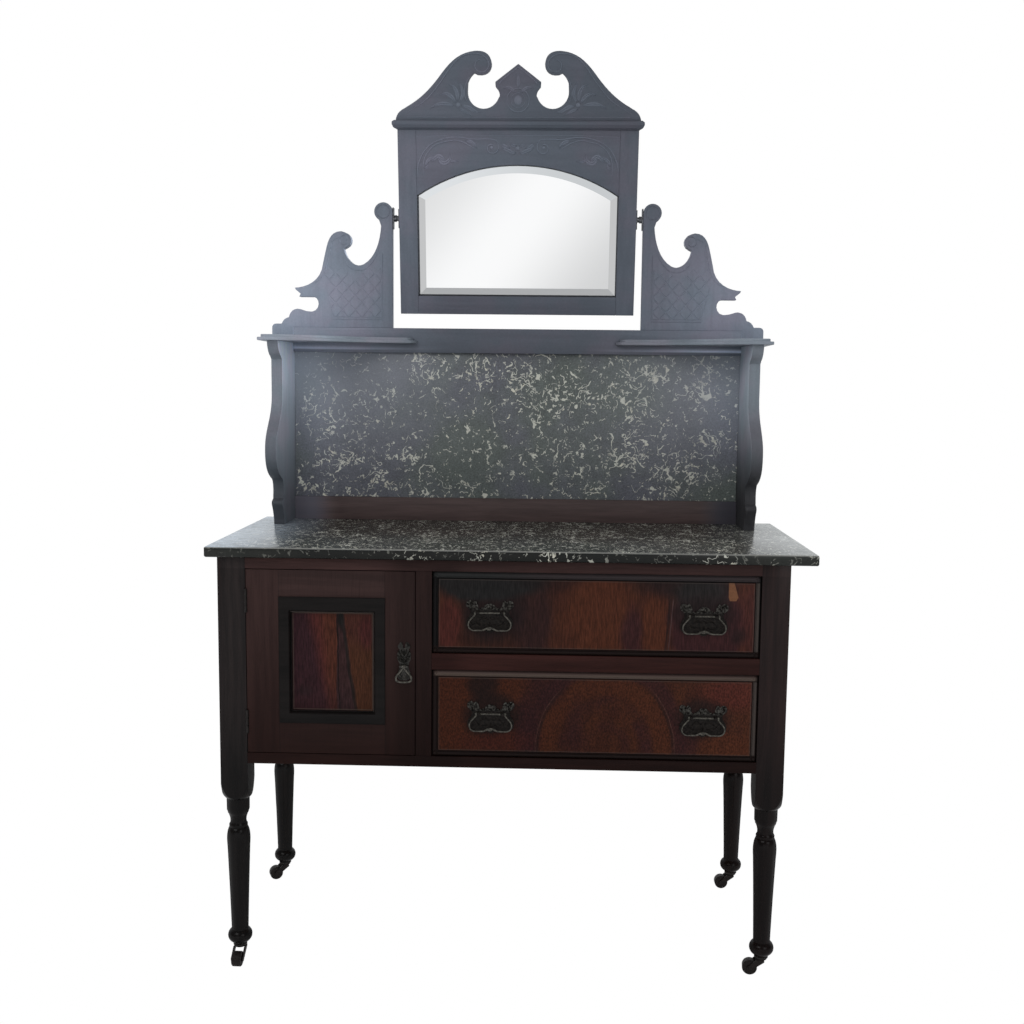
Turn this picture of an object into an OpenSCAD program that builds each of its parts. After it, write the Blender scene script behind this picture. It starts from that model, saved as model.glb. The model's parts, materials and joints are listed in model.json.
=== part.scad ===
// Washstand: a turned-leg case with a cupboard and two drawers, a loose marble top, a marble
// splashback in a wooden gallery with two small shelves, and a tilting mirror between uprights.
// Millimetres. X is to the right, Y runs from the front to the back, Z is up from the floor.
// The origin is on the floor, under the middle of the overall width and depth.

/* [Marble top] */
// Width of the marble top
slab_w = 1067; // [1050:1:1110]
// Depth of the marble top
slab_d = 457; // [440:1:490]
// Thickness of the marble top
slab_t = 19; // [15:1:26]
// Height of the marble's upper face above the floor
top_z = 780; // [730:1:820]
// How far the marble stands out in front of the case
slab_lip = 20; // [17:1:30]
// How far the loose marble has slid to the right on the case
slab_shift = 13; // [0:1:18]
// Eased edge of the marble
slab_ease = 2; // [0.5:0.5:4]

/* [Case] */
// How far the marble stands out beyond the case at each side, when it lies in the middle
side_lip = 30.5; // [24:0.5:44]
// How far the marble stands out behind the case
back_lip = 15; // [6:1:30]
// Height of the case's underside above the floor
case_z = 385; // [360:1:410]
// Side of the square corner posts
post_w = 49; // [44:1:54]
// Thickness of the front rails and of the muntin, from front to back
rail_t = 22; // [20:1:26]
// Height of the top rail
top_rail_h = 22; // [16:1:30]
// Height of the rail between the drawers
mid_rail_h = 29; // [22:1:34]
// Height of the bottom rail
low_rail_h = 20; // [16:1:26]
// Height of the lower drawer's opening
lower_bay_h = 158; // [140:1:168]
// Width of the cupboard's opening
door_bay_w = 302.5; // [270:0.5:330]
// Width of the muntin between the cupboard and the drawers
muntin_w = 28.5; // [24:0.5:34]
// Thickness of the partition behind the muntin
partition_t = 15; // [10:1:18]
// Thickness of the side panels
panel_t = 12; // [8:1:16]
// How far the side panels lie behind the posts' outer faces
panel_inset = 6; // [3:1:10]
// Thickness of the bottom board
bottom_t = 12; // [8:1:15]
// Thickness of the back board
back_t = 8; // [6:1:10]
// Height of the rail along the top of the back
back_rail_h = 40; // [30:1:60]

/* [Legs] */
// Height at which a leg's square block ends and the turning starts
block_z = 345; // [325:1:352]
// Height of the top of the turned ring under the block
ring_z = 315; // [300:1:320]
// Radius of the turned ring and of the swelling below it
ring_r = 21.2; // [18:0.1:23.5]
// Radius of the narrow neck under the ring
neck_r = 14; // [12:0.5:17]
// Radius of the leg's foot just above its ball
ankle_r = 15.2; // [12:0.2:16]
// Radius of the ball foot
ball_r = 22; // [19:0.5:24]
// Height of the leg's lower end, where the castor begins
leg_z = 36; // [34:1:44]

/* [Castors] */
// Diameter of a castor wheel
wheel_d = 27; // [24:0.5:28]
// Width of a castor wheel
wheel_w = 17; // [11:0.5:18]
// How far a wheel trails behind its swivel axis
castor_trail = 20; // [18:0.5:22]
// Heading of the front left castor, in degrees anticlockwise from +X
heading_fl = 268; // [0:1:359]
// Heading of the front right castor
heading_fr = 172; // [0:1:359]
// Heading of the back left castor
heading_bl = 204; // [0:1:359]
// Heading of the back right castor
heading_br = 180; // [0:1:359]

/* [Door] */
// Thickness of the door
door_t = 20; // [18:1:22]
// Width of the stile on the hinge side
door_stile_l = 58; // [48:1:66]
// Width of the stile on the handle side
door_stile_r = 53; // [46:1:62]
// Height of the door's top rail
door_rail_t = 48; // [40:1:56]
// Height of the door's bottom rail
door_rail_b = 55; // [45:1:65]
// Width of the black moulding inside the door's frame
door_mould_w = 22; // [16:1:28]
// Extra width of that moulding along the top of the panel
door_mould_top = 6.5; // [1:0.5:9]
// Gap round the door
door_gap = 1.2; // [1:0.1:1.8]
// Height of the pull's pivot above the door's lower edge
pull_up = 163; // [140:1:190]

/* [Drawers] */
// Gap round a drawer front
drawer_gap = 1.2; // [0.8:0.1:1.8]
// Thickness of a drawer front behind its raised field
front_t = 18; // [15:1:20]
// How far the raised field stands out from the edge of a drawer front
field_rise = 6; // [4:0.5:8]
// Width of the moulded border round the field
border_w = 11.5; // [9:0.5:16]
// Thickness of the drawer sides and backs
side_t = 9; // [7:1:11]
// Height of the upper drawer's sides
upper_side_h = 128; // [110:1:132]
// Height of the lower drawer's sides
lower_side_h = 140; // [110:1:142]
// Distance from an end of a drawer's opening to the middle of its handle
handle_in = 101.2; // [80:0.1:130]
// How far the upper drawer's handles are set to the right of its middle
upper_handle_shift = 1.5; // [-8:0.5:8]
// How far the lower drawer's handles are set to the right of its middle
lower_handle_shift = 4.5; // [-8:0.5:8]

/* [Handles] */
// Width of a drawer handle's back plate
plate_w = 84; // [76:1:92]
// Thickness of the back plates
plate_t = 2.5; // [2:0.1:3]
// Distance between the arms of a bail handle
bail_span = 50.5; // [47:0.5:54]
// Widest part of a bail handle
bail_w = 78; // [70:1:84]
// Drop of a bail handle below its pivot
bail_drop = 33; // [28:1:36]
// Thickness of the bails and of the ring pull
bail_t = 3.6; // [3:0.1:4]

/* [Gallery] */
// How far the gallery stands to the right of the case's middle
gallery_shift = 8.5; // [0:0.5:10]
// How far the wings stand in from the case's sides
gallery_in = 21; // [14:1:32]
// Thickness of the wings
wing_t = 22; // [18:1:26]
// Thickness of the gallery's rails and of the uprights
gallery_t = 22; // [20:1:24]
// Height of the rail under the splash marble
splash_rail_h = 47.5; // [40:0.5:56]
// Height of splash marble that shows
splash_h = 300; // [260:1:320]
// Height of the rail above the splash marble
crown_rail_h = 50; // [44:1:56]
// Thickness of the splash marble
splash_t = 12; // [9:1:14]
// Depth of a wing's foot
wing_foot = 131; // [115:1:145]
// Depth of a wing's neck under the shelf
wing_neck = 133; // [120:1:146]
// Depth of a wing at its swelling
wing_belly = 194; // [170:1:205]
// Depth of a wing right under the shelf
wing_head = 169; // [155:1:178]
// Depth of a shelf at its outer end
shelf_d = 182; // [172:1:195]
// Thickness of a shelf's lower tier
tier_low = 6; // [4:0.5:8]
// Thickness of a shelf's upper tier
tier_up = 5.5; // [4:0.5:8]
// Length of a shelf along the rail
shelf_l = 278; // [240:1:320]

/* [Uprights] */
// Gap between the mirror's frame and each upright
mirror_gap = 14; // [12.5:0.5:16]
// Height of an upright above the shelf
upright_h = 273; // [256:1:285]
// Radius of the disc at the top of an upright
disc_r = 18.5; // [15:0.5:21]
// Height of the mirror's pivot below the top of the uprights
pivot_drop = 31; // [26:1:36]

/* [Mirror] */
// Width of the mirror frame
mirror_w = 482; // [460:1:500]
// Height of the mirror frame below its pivot
mirror_low = 192; // [175:1:204]
// Height of the mirror frame above its pivot, up to the cornice
mirror_high = 173; // [160:1:190]
// Thickness of the mirror frame
mirror_t = 22; // [20:1:26]
// Width of the mirror's stiles and bottom rail
mirror_rail = 37; // [30:1:42]
// Height of the glass's springing line above the pivot
spring_h = 46; // [36:1:56]
// Rise of the glass's arch
arch_rise = 60; // [40:1:64]
// Height of the cornice
cornice_h = 18; // [14:1:24]
// How far the cornice stands out
cornice_out = 10; // [6:1:12]
// Height of the crest above the cornice
crest_h = 130; // [110:1:145]
// Thickness of the crest
crest_t = 20; // [16:1:22]
// Forward lean of the mirror, in degrees
mirror_lean = 9; // [0:0.5:14]

/* [Hidden] */

$fn = 64;
// Clearances: slack between glued boards' loose mates, running gap of a pin, overlap of a union
slack = 0.3;
run = 0.06;
eps = 0.01;

// Colours
dark_wood = [0.16, 0.09, 0.07];
black_wood = [0.07, 0.06, 0.06];
veneer = [0.36, 0.17, 0.09];
pale_wood = [0.55, 0.42, 0.28];
marble_dark = [0.20, 0.22, 0.21];
brass = [0.22, 0.18, 0.13];
iron = [0.10, 0.09, 0.09];
silvered = [0.82, 0.85, 0.86];

// Case and gallery, from the marble that covers them
case_w = slab_w - 2 * side_lip;
case_d = slab_d - slab_lip - back_lip;
gallery_w = case_w - 2 * gallery_in;

// Gallery depth, from its back board to its front plane
gallery_back_t = 6;
gallery_inset = 2;
back_plate_t = 3;
back_plate_w = 24;
back_plate_in = 154;
back_plate_down = 34;
back_plate_up = 42;
screw_r = 4;
screw_head = 1.2;
pivot_from_back = gallery_inset + gallery_back_t + gallery_t / 2;
mirror_behind = mirror_low * sin(mirror_lean) + mirror_t / 2 * cos(mirror_lean);
overall_d = slab_d + max(back_plate_t + screw_head, mirror_behind - pivot_from_back);

slab_front = -overall_d / 2;
slab_back = slab_front + slab_d;
case_x = -slab_shift;
case_front = slab_front + slab_lip;
case_back = case_front + case_d;
case_top = top_z - slab_t;

// Openings of the case
in_x = case_w / 2 - post_w;
side_x = case_w / 2 - panel_inset - panel_t;
bay_z = case_z + low_rail_h;
bay_top = case_top - top_rail_h;
mid_rail_z = bay_z + lower_bay_h;
upper_bay_z = mid_rail_z + mid_rail_h;
upper_bay_h = bay_top - upper_bay_z;
muntin_x = -in_x + door_bay_w;
drawer_bay_x = muntin_x + muntin_w;
drawer_bay_w = in_x - drawer_bay_x;
inner_y = case_front + rail_t;
back_face_y = case_back - back_t;

// Castors: plate under the leg, sleeve in the leg, pintle in the sleeve
socket_plate_t = 2.5;
socket_plate_r = 12.5;
sleeve_r = 5.4;
sleeve_l = 30;
pintle_r = 3;
fork_disc_t = 2.8;
fork_disc_r = 10.5;
fork_arm_t = 2.2;
fork_gap = 0.5;
castor_axle_r = 1.7;
wheel_r = wheel_d / 2;
fork_top = leg_z - socket_plate_t - slack;
leg_x = case_w / 2 - post_w / 2;
leg_front = case_front + post_w / 2;
leg_rear = case_back - post_w / 2;
castor_at = [
    [case_x - leg_x, leg_front, heading_fl],
    [case_x + leg_x, leg_front, heading_fr],
    [case_x - leg_x, leg_rear, heading_bl],
    [case_x + leg_x, leg_rear, heading_br]
];

// Door and its butt hinges
door_x0 = -in_x + door_gap;
door_x1 = muntin_x - door_gap;
door_z0 = bay_z + door_gap;
door_z1 = bay_top - door_gap;
panel_x0 = door_x0 + door_stile_l;
panel_x1 = door_x1 - door_stile_r;
panel_z0 = door_z0 + door_rail_b;
panel_z1 = door_z1 - door_rail_t;
mould_proud = 2;
mould_depth = 9;
door_panel_t = 7;
knuckle_r = 2.6;
knuckle_relief = 0.4;
hinge_pin_r = 1.1;
hinge_h = 42;
hinge_leaf_t = 1.5;
hinge_leaf_y = 15;
hinge_x = -in_x + door_gap / 2;
hinge_y = case_front - 0.8;
hinge_in = 35;
hinge_zs = [door_z0 + hinge_in, door_z1 - hinge_in - hinge_h];
leaf_proud = 0.2;

// Drawers
drawer_w = drawer_bay_w - 2 * drawer_gap;
drawer_mid = drawer_bay_x + drawer_bay_w / 2;
field_y = case_front - 2;
edge_y = field_y + field_rise;
tray_back = back_face_y - 12;
tray_bottom_t = 6;
tray_bottom_up = 8;
runner_w = 18;
guide_up = 20;
housing = 3;

// Handles
handle_drop = 4.5;
pivot_above_plate = 7.5;
bail_out = 9;
bail_r = 1.6;
lug_r = 3.6;
lug_w = 4;
lug_gap = 0.6;
pull_out = 8;
pull_pin_r = 1.4;
pull_lug_r = 2.8;
pull_w = 31;
pull_h = 30;
pull_x = door_x1 - 19;
pull_z = door_z0 + pull_up;

// Gallery
gallery_x = case_x + gallery_shift;
gallery_rear = slab_back - gallery_inset;
gallery_mate = gallery_rear - gallery_back_t;
gallery_front = gallery_mate - gallery_t;
wing_out = gallery_w / 2;
wing_in = wing_out - wing_t;
splash_z = top_z + splash_rail_h;
crown_z = splash_z + splash_h;
crown_top = crown_z + crown_rail_h;
shelf_z = crown_z + 18.5;
shelf_top = shelf_z + tier_low + tier_up;
splash_lap = 6;
shelf_out = wing_out + 17;
shelf_flare = 10;
tier_step = 6;

// Uprights and the mirror's pivot
upright_x = mirror_w / 2 + mirror_gap;
upright_out = wing_out + 22;
upright_top = shelf_top + upright_h;
pivot_y = gallery_mate - gallery_t / 2;
pivot_z = upright_top - pivot_drop;
bracket_t = 2.5;
bracket_h = 42;
bracket_w = 16;
boss_r = 7;
boss_l = 5.5;
pivot_r = 3;
collar_r = 5.5;
pivot_plate_t = 2;
pivot_plate_w = 14;
pivot_plate_h = 38;
mirror_half = mirror_w / 2;
glass_half = mirror_half - mirror_rail;
glass_low = mirror_low - mirror_rail;
arch_r = (glass_half * glass_half + arch_rise * arch_rise) / (2 * arch_rise);
rebate = 6;
rebate_y = -1;
glass_t = 5;
mirror_back_t = 5;

// Points along an arc, from angle a0 to angle a1
function arc(c, r, a0, a1, n = 8) = [
    for (i = [0:n]) let (a = a0 + (a1 - a0) * i / n) [c[0] + r * cos(a), c[1] + r * sin(a)]
];
// Points along a cubic curve
function bez(p0, p1, p2, p3, n = 8) = [
    for (i = [0:n]) let (t = i / n, s = 1 - t)
        s * s * s * p0 + 3 * s * s * t * p1 + 3 * s * t * t * p2 + t * t * t * p3
];
function flip(p) = [for (i = [len(p) - 1:-1:0]) [-p[i][0], p[i][1]]];
// A half path that ends on the middle line, followed by its mirror image
function whole(p) = concat(p, [for (i = [len(p) - 2:-1:0]) [-p[i][0], p[i][1]]]);
// Flat outlines: XZ outline with its thickness along +Y, YZ outline with its thickness along +X
module plate_xz(t) { rotate([90, 0, 0]) translate([0, 0, -t]) linear_extrude(t) children(); }
module plate_yz(t) { rotate([90, 0, 90]) linear_extrude(t) children(); }
module box(x, y, z) {
    translate([x[0], y[0], z[0]]) cube([x[1] - x[0], y[1] - y[0], z[1] - z[0]]);
}
module mirrored_x() {
    children();
    mirror([1, 0, 0]) children();
}
module rod_x(x, r) { translate([x[0], 0, 0]) rotate([0, 90, 0]) cylinder(r = r, h = x[1] - x[0]); }

// ---------------------------------------------------------------- legs and case

// Half outline of the turned part of a leg: radius, height
ball_z = leg_z + 16;
ball_arc_r = 14;
swell_z = ring_z - 76;
leg_profile = concat(
    [[0, leg_z], [12, leg_z]],
    arc([ball_r - ball_arc_r, ball_z], ball_arc_r, -72, 58, 12),
    bez([ankle_r, ball_z + 14], [ankle_r + 1.2, ball_z + 60], [ankle_r + 3, swell_z - 70],
        [ring_r - 0.8, swell_z - 16], 8),
    bez([ring_r - 0.3, swell_z - 8], [ring_r + 0.2, swell_z + 2], [ring_r - 0.6, swell_z + 12],
        [neck_r + 3.2, swell_z + 19], 6),
    [[neck_r + 2, swell_z + 20], [neck_r + 2.6, swell_z + 22], [neck_r + 2.6, swell_z + 25],
     [neck_r + 1.4, swell_z + 27]],
    bez([neck_r + 0.6, ring_z - 47], [neck_r, ring_z - 42], [neck_r + 0.4, ring_z - 38],
        [ring_r - 3.4, ring_z - 30], 6),
    [[ring_r - 2.6, ring_z - 29], [ring_r - 2, ring_z - 26], [ring_r - 0.8, ring_z - 23],
     [ring_r - 0.5, ring_z], [ring_r - 1.2, ring_z + 8], [0, ring_z + 8]]
);
// Rounded shoulder between the turning and the square block
shoulder_profile = concat(
    [[0, ring_z - 1]],
    bez([ring_r - 0.5, ring_z - 1], [ring_r + 6, ring_z + 4], [post_w * 0.62, ring_z + 12],
        [post_w * 0.71, block_z + 2], 8),
    [[0, block_z + 2]]
);
module leg(i) {
    translate([castor_at[i][0], castor_at[i][1], 0]) difference() {
        union() {
            rotate_extrude() polygon(leg_profile);
            intersection() {
                rotate_extrude() polygon(shoulder_profile);
                translate([-post_w / 2, -post_w / 2, ring_z - 2]) cube([post_w, post_w, block_z]);
            }
            translate([-post_w / 2, -post_w / 2, block_z])
                cube([post_w, post_w, case_top - block_z]);
        }
        translate([0, 0, leg_z - 1]) cylinder(r = sleeve_r + 0.1, h = sleeve_l + 3);
    }
}
module post_front_left() color(black_wood) difference() {
    leg(0);
    translate([case_x, 0, 0]) for (z = hinge_zs) hinge_pocket(-1, z);
}
module post_front_right() color(black_wood) leg(1);
module post_back_left() color(black_wood) leg(2);
module post_back_right() color(black_wood) leg(3);

module side_panels() color(dark_wood) translate([case_x, 0, 0]) mirrored_x()
    box([side_x, side_x + panel_t], [case_front + post_w, case_back - post_w], [case_z, case_top]);

module top_rail() color(dark_wood) translate([case_x, 0, 0])
    box([-in_x, in_x], [case_front, inner_y], [bay_top, case_top]);
module bottom_rail() color(dark_wood) translate([case_x, 0, 0])
    box([-in_x, in_x], [case_front, inner_y], [case_z, bay_z]);
module muntin() color(dark_wood) translate([case_x, 0, 0])
    box([muntin_x, drawer_bay_x], [case_front, inner_y], [bay_z, bay_top]);
module drawer_rail() color(dark_wood) translate([case_x, 0, 0])
    box([drawer_bay_x, in_x], [case_front, inner_y], [mid_rail_z, upper_bay_z]);

module partition() color(pale_wood) translate([case_x + drawer_bay_x - partition_t, 0, 0])
    plate_yz(partition_t) polygon([
        [inner_y, bay_z], [back_face_y, bay_z], [back_face_y, case_top - back_rail_h],
        [case_back - rail_t, case_top - back_rail_h], [case_back - rail_t, case_top],
        [inner_y, case_top]
    ]);
module case_bottom() color(pale_wood) translate([case_x, 0, bay_z - bottom_t])
    linear_extrude(bottom_t) polygon([
        [-in_x, inner_y], [in_x, inner_y], [in_x, case_front + post_w],
        [side_x, case_front + post_w], [side_x, case_back - post_w], [in_x, case_back - post_w],
        [in_x, back_face_y], [-in_x, back_face_y], [-in_x, case_back - post_w],
        [-side_x, case_back - post_w], [-side_x, case_front + post_w],
        [-in_x, case_front + post_w]
    ]);
module back_board() color(pale_wood) translate([case_x, 0, 0])
    box([-in_x, in_x], [back_face_y, case_back], [case_z, case_top - back_rail_h]);
module back_rail() color(dark_wood) translate([case_x, 0, 0])
    box([-in_x, in_x], [case_back - rail_t, case_back], [case_top - back_rail_h, case_top]);

// Runner under the upper drawer, kicker above it, and the strips that guide the right sides
module drawer_runners() color(pale_wood) translate([case_x, 0, 0]) {
    for (x = [[drawer_bay_x, drawer_bay_x + runner_w], [in_x - runner_w, in_x]]) {
        box(x, [inner_y, back_face_y], [mid_rail_z, upper_bay_z]);
        box(x, [inner_y, case_back - rail_t], [bay_top, case_top]);
    }
    translate([0, case_front + post_w, 0]) plate_xz(case_d - 2 * post_w) polygon([
        [in_x - runner_w / 2, mid_rail_z], [side_x, mid_rail_z], [side_x, upper_bay_z + guide_up],
        [in_x, upper_bay_z + guide_up], [in_x, upper_bay_z], [in_x - runner_w / 2, upper_bay_z]
    ]);
    box([in_x, side_x], [case_front + post_w, case_back - post_w], [bay_z, bay_z + guide_up]);
}

module marble_top() color(marble_dark) intersection() {
    translate([-slab_w / 2 - 1, 0, 0]) plate_yz(slab_w + 2) polygon([
        [slab_front, case_top + slab_ease], [slab_front + slab_ease, case_top],
        [slab_back, case_top], [slab_back, top_z], [slab_front + slab_ease, top_z],
        [slab_front, top_z - slab_ease]
    ]);
    translate([0, slab_front - 1, 0]) plate_xz(slab_d + 2) polygon([
        [-slab_w / 2, case_top + slab_ease], [-slab_w / 2 + slab_ease, case_top],
        [slab_w / 2 - slab_ease, case_top], [slab_w / 2, case_top + slab_ease],
        [slab_w / 2, top_z - slab_ease], [slab_w / 2 - slab_ease, top_z],
        [-slab_w / 2 + slab_ease, top_z], [-slab_w / 2, top_z - slab_ease]
    ]);
}

// ---------------------------------------------------------------- castors

module castor_sockets() color(brass) for (c = castor_at)
    translate([c[0], c[1], 0]) difference() {
        union() {
            translate([0, 0, leg_z - socket_plate_t])
                cylinder(r = socket_plate_r, h = socket_plate_t);
            translate([0, 0, leg_z - 1]) cylinder(r = sleeve_r, h = sleeve_l + 1);
        }
        translate([0, 0, 0]) cylinder(r = pintle_r + run, h = leg_z + sleeve_l - 3);
    }

fork_half = wheel_w / 2 + fork_gap;
module fork_arm_outline() {
    translate([castor_trail, wheel_r]) circle(r = 4.6);
    polygon([
        [-6, fork_top - fork_disc_t], [-6, fork_top - fork_disc_t - 3],
        [castor_trail - 3.6, wheel_r - 2.9], [castor_trail + 4.2, wheel_r + 1.8],
        [8, fork_top - fork_disc_t]
    ]);
}
module castor_fork(i) color(iron) translate([castor_at[i][0], castor_at[i][1], 0])
    rotate([0, 0, castor_at[i][2]]) {
        translate([0, 0, fork_top - fork_disc_t]) cylinder(r = fork_disc_r, h = fork_disc_t);
        translate([0, 0, fork_top - 1]) cylinder(r = pintle_r, h = leg_z + sleeve_l - 5 - fork_top);
        for (s = [-1, 1])
            translate([0, s > 0 ? fork_half : -fork_half - fork_arm_t, 0])
                plate_xz(fork_arm_t) fork_arm_outline();
        translate([castor_trail, -fork_half - 1, wheel_r]) rotate([-90, 0, 0])
            cylinder(r = castor_axle_r, h = 2 * fork_half + 2);
    }
wheel_crown = 1.5;
module castor_wheel(i) color(iron) translate([castor_at[i][0], castor_at[i][1], 0])
    rotate([0, 0, castor_at[i][2]]) translate([castor_trail, 0, wheel_r]) rotate([-90, 0, 0])
        rotate_extrude() polygon([
            [castor_axle_r + run, -wheel_w / 2], [wheel_r - wheel_crown, -wheel_w / 2],
            [wheel_r, -wheel_w / 2 + wheel_crown], [wheel_r, wheel_w / 2 - wheel_crown],
            [wheel_r - wheel_crown, wheel_w / 2], [castor_axle_r + run, wheel_w / 2]
        ]);
module castor_fork_fl() castor_fork(0);
module castor_fork_fr() castor_fork(1);
module castor_fork_bl() castor_fork(2);
module castor_fork_br() castor_fork(3);
module castor_wheel_fl() castor_wheel(0);
module castor_wheel_fr() castor_wheel(1);
module castor_wheel_bl() castor_wheel(2);
module castor_wheel_br() castor_wheel(3);

// ---------------------------------------------------------------- door

// Room for a hinge leaf and its knuckle: side -1 in the post, side 1 in the door
module hinge_pocket(side, z) {
    face = hinge_x + side * door_gap / 2;
    depth = hinge_leaf_t - leaf_proud;
    box(side < 0 ? [face - depth, face + 1] : [face - 1, face + depth],
        [case_front - 1, case_front + hinge_leaf_y + 0.2], [z - 0.2, z + hinge_h + 0.2]);
    translate([hinge_x, hinge_y, z - 0.2])
        cylinder(r = knuckle_r + knuckle_relief, h = hinge_h + 0.4);
}
// One leaf: a flat plate held clear of the other leaf's knuckles
module hinge_leaf(side, z, own) {
    face = hinge_x + side * door_gap / 2;
    x = side < 0 ? [face - hinge_leaf_t + leaf_proud, face + leaf_proud]
                 : [face - leaf_proud, face + hinge_leaf_t - leaf_proud];
    box(x, [hinge_y + knuckle_r + knuckle_relief, case_front + hinge_leaf_y], [z, z + hinge_h]);
    for (k = own) {
        box(x, [hinge_y, hinge_y + knuckle_r + knuckle_relief + eps],
            [z + k[0] * hinge_h, z + k[1] * hinge_h]);
        translate([hinge_x, hinge_y, z + k[0] * hinge_h])
            cylinder(r = knuckle_r, h = (k[1] - k[0]) * hinge_h);
    }
}
fixed_knuckles = [[0.34, 0.66]];
moving_knuckles = [[0, 0.33], [0.67, 1]];
module hinge_leaves_fixed() color(brass) translate([case_x, 0, 0]) for (z = hinge_zs) {
    hinge_leaf(-1, z, fixed_knuckles);
    translate([hinge_x, hinge_y, z]) cylinder(r = hinge_pin_r, h = hinge_h);
}
module hinge_leaves_moving() color(brass) translate([case_x, 0, 0]) for (z = hinge_zs)
    difference() {
        hinge_leaf(1, z, moving_knuckles);
        translate([hinge_x, hinge_y, z - 1]) cylinder(r = hinge_pin_r + run, h = hinge_h + 2);
    }

module door_frame() color(dark_wood) translate([case_x, 0, 0]) {
    difference() {
        box([door_x0, door_x1], [case_front, case_front + door_t], [door_z0, door_z1]);
        box([panel_x0, panel_x1], [case_front - 1, case_front + door_t + 1],
            [panel_z0, panel_z1]);
        for (z = hinge_zs) hinge_pocket(1, z);
    }
}
// Section of the moulding: distance in from its outer edge, distance back from the door's face
mould_section = concat(
    [[0, mould_depth], [0, -mould_proud * 0.5], [door_mould_w * 0.05, -mould_proud]],
    bez([door_mould_w * 0.74, -mould_proud], [door_mould_w * 0.82, -mould_proud],
        [door_mould_w * 0.87, mould_depth * 0.1], [door_mould_w * 0.89, mould_depth * 0.5], 5),
    [[door_mould_w * 0.895, mould_depth * 0.82], [door_mould_w * 0.93, mould_depth * 0.82]],
    arc([door_mould_w * 0.965, mould_depth * 0.66], door_mould_w * 0.035, 180, 360, 5),
    [[door_mould_w, mould_depth]]
);
mould_z1 = panel_z1 - door_mould_top;
module mould_side(len) {
    intersection() {
        translate([-len / 2, 0, 0]) rotate([90, 0, 90]) linear_extrude(len)
            polygon([for (p = mould_section) [p[1], p[0]]]);
        translate([0, -mould_proud - 1, 0]) plate_xz(mould_depth + mould_proud + 2)
            polygon([[-len / 2, 0], [len / 2, 0], [0, len / 2]]);
    }
}
module door_moulding() color(black_wood) translate([case_x, case_front, 0]) {
    w = panel_x1 - panel_x0;
    h = mould_z1 - panel_z0;
    xm = (panel_x0 + panel_x1) / 2;
    zm = (panel_z0 + mould_z1) / 2;
    translate([xm, 0, panel_z0]) mould_side(w);
    translate([xm, 0, mould_z1]) rotate([0, 180, 0]) mould_side(w);
    translate([panel_x0, 0, zm]) rotate([0, 90, 0]) mould_side(h);
    translate([panel_x1, 0, zm]) rotate([0, -90, 0]) mould_side(h);
    // flat strip above, flush with the moulding's flat band
    box([panel_x0, panel_x1], [-mould_proud, mould_depth], [mould_z1 - door_mould_w * 0.1, panel_z1]);
}
module door_panel() color(veneer) translate([case_x, 0, 0])
    box([panel_x0, panel_x1],
        [case_front + mould_depth, case_front + mould_depth + door_panel_t], [panel_z0, panel_z1]);

// ---------------------------------------------------------------- handles

function unit(v) = v / norm(v);
// A point moved sideways by d where a path turns from direction a to direction b
function beside(p, a, b, d) = let (m = [-a[1] - b[1], a[0] + b[0]]) p + m * 2 * d / (m * m);
// An open path and a closed path, each moved sideways by d
function beside_path(p, d) = [
    for (i = [0:len(p) - 1])
        let (a = i > 0 ? unit(p[i] - p[i - 1]) : unit(p[1] - p[0]),
             b = i < len(p) - 1 ? unit(p[i + 1] - p[i]) : a) beside(p[i], a, b, d)
];
function beside_loop(p, d) = let (n = len(p)) [
    for (i = [0:n - 1])
        beside(p[i], unit(p[i] - p[(i + n - 1) % n]), unit(p[(i + 1) % n] - p[i]), d)
];
function backwards(p) = [for (i = [len(p) - 1:-1:0]) p[i]];
// Half outline of a drawer's back plate, about the middle of the plate
plate_half = [
    [0, 23], [4, 22.5], [8, 20], [11, 16], [12.5, 13.5], [17, 12.5], [20, 14.5], [21, 19.5],
    [22.5, 24.5], [25.5, 28], [28, 27.5], [29.5, 24.5], [31, 26], [34, 28.5], [38, 28], [41, 25.5],
    [42, 20.5], [40.5, 16.5], [36.5, 13.5], [34, 10], [33.5, 6.5], [35.5, 1.5], [39, -3.5],
    [41, -8.5], [41.5, -13.5], [39.5, -19.5], [34.5, -24.5], [26.5, -27], [16, -26.5], [9, -24.5],
    [5, -27.5], [0, -29]
];
plate_k = plate_w / 84;
module handle_plate() {
    half = [for (p = plate_half) [p[0] * plate_k, p[1]]];
    lug_x = bail_span / 2 - bail_t / 2 - lug_gap - lug_w;
    difference() {
        union() {
            translate([0, -plate_t, 0]) plate_xz(plate_t) polygon(concat(half, flip(half)));
            for (s = [-1, 1]) {
                x = s > 0 ? [lug_x, lug_x + lug_w] : [-lug_x - lug_w, -lug_x];
                box(x, [-bail_out, -plate_t + eps],
                    [pivot_above_plate - lug_r, pivot_above_plate + lug_r]);
                translate([0, -bail_out, pivot_above_plate]) rod_x(x, lug_r);
            }
        }
        translate([0, -bail_out, pivot_above_plate]) rod_x([-plate_w, plate_w], bail_r + run);
    }
}
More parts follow.
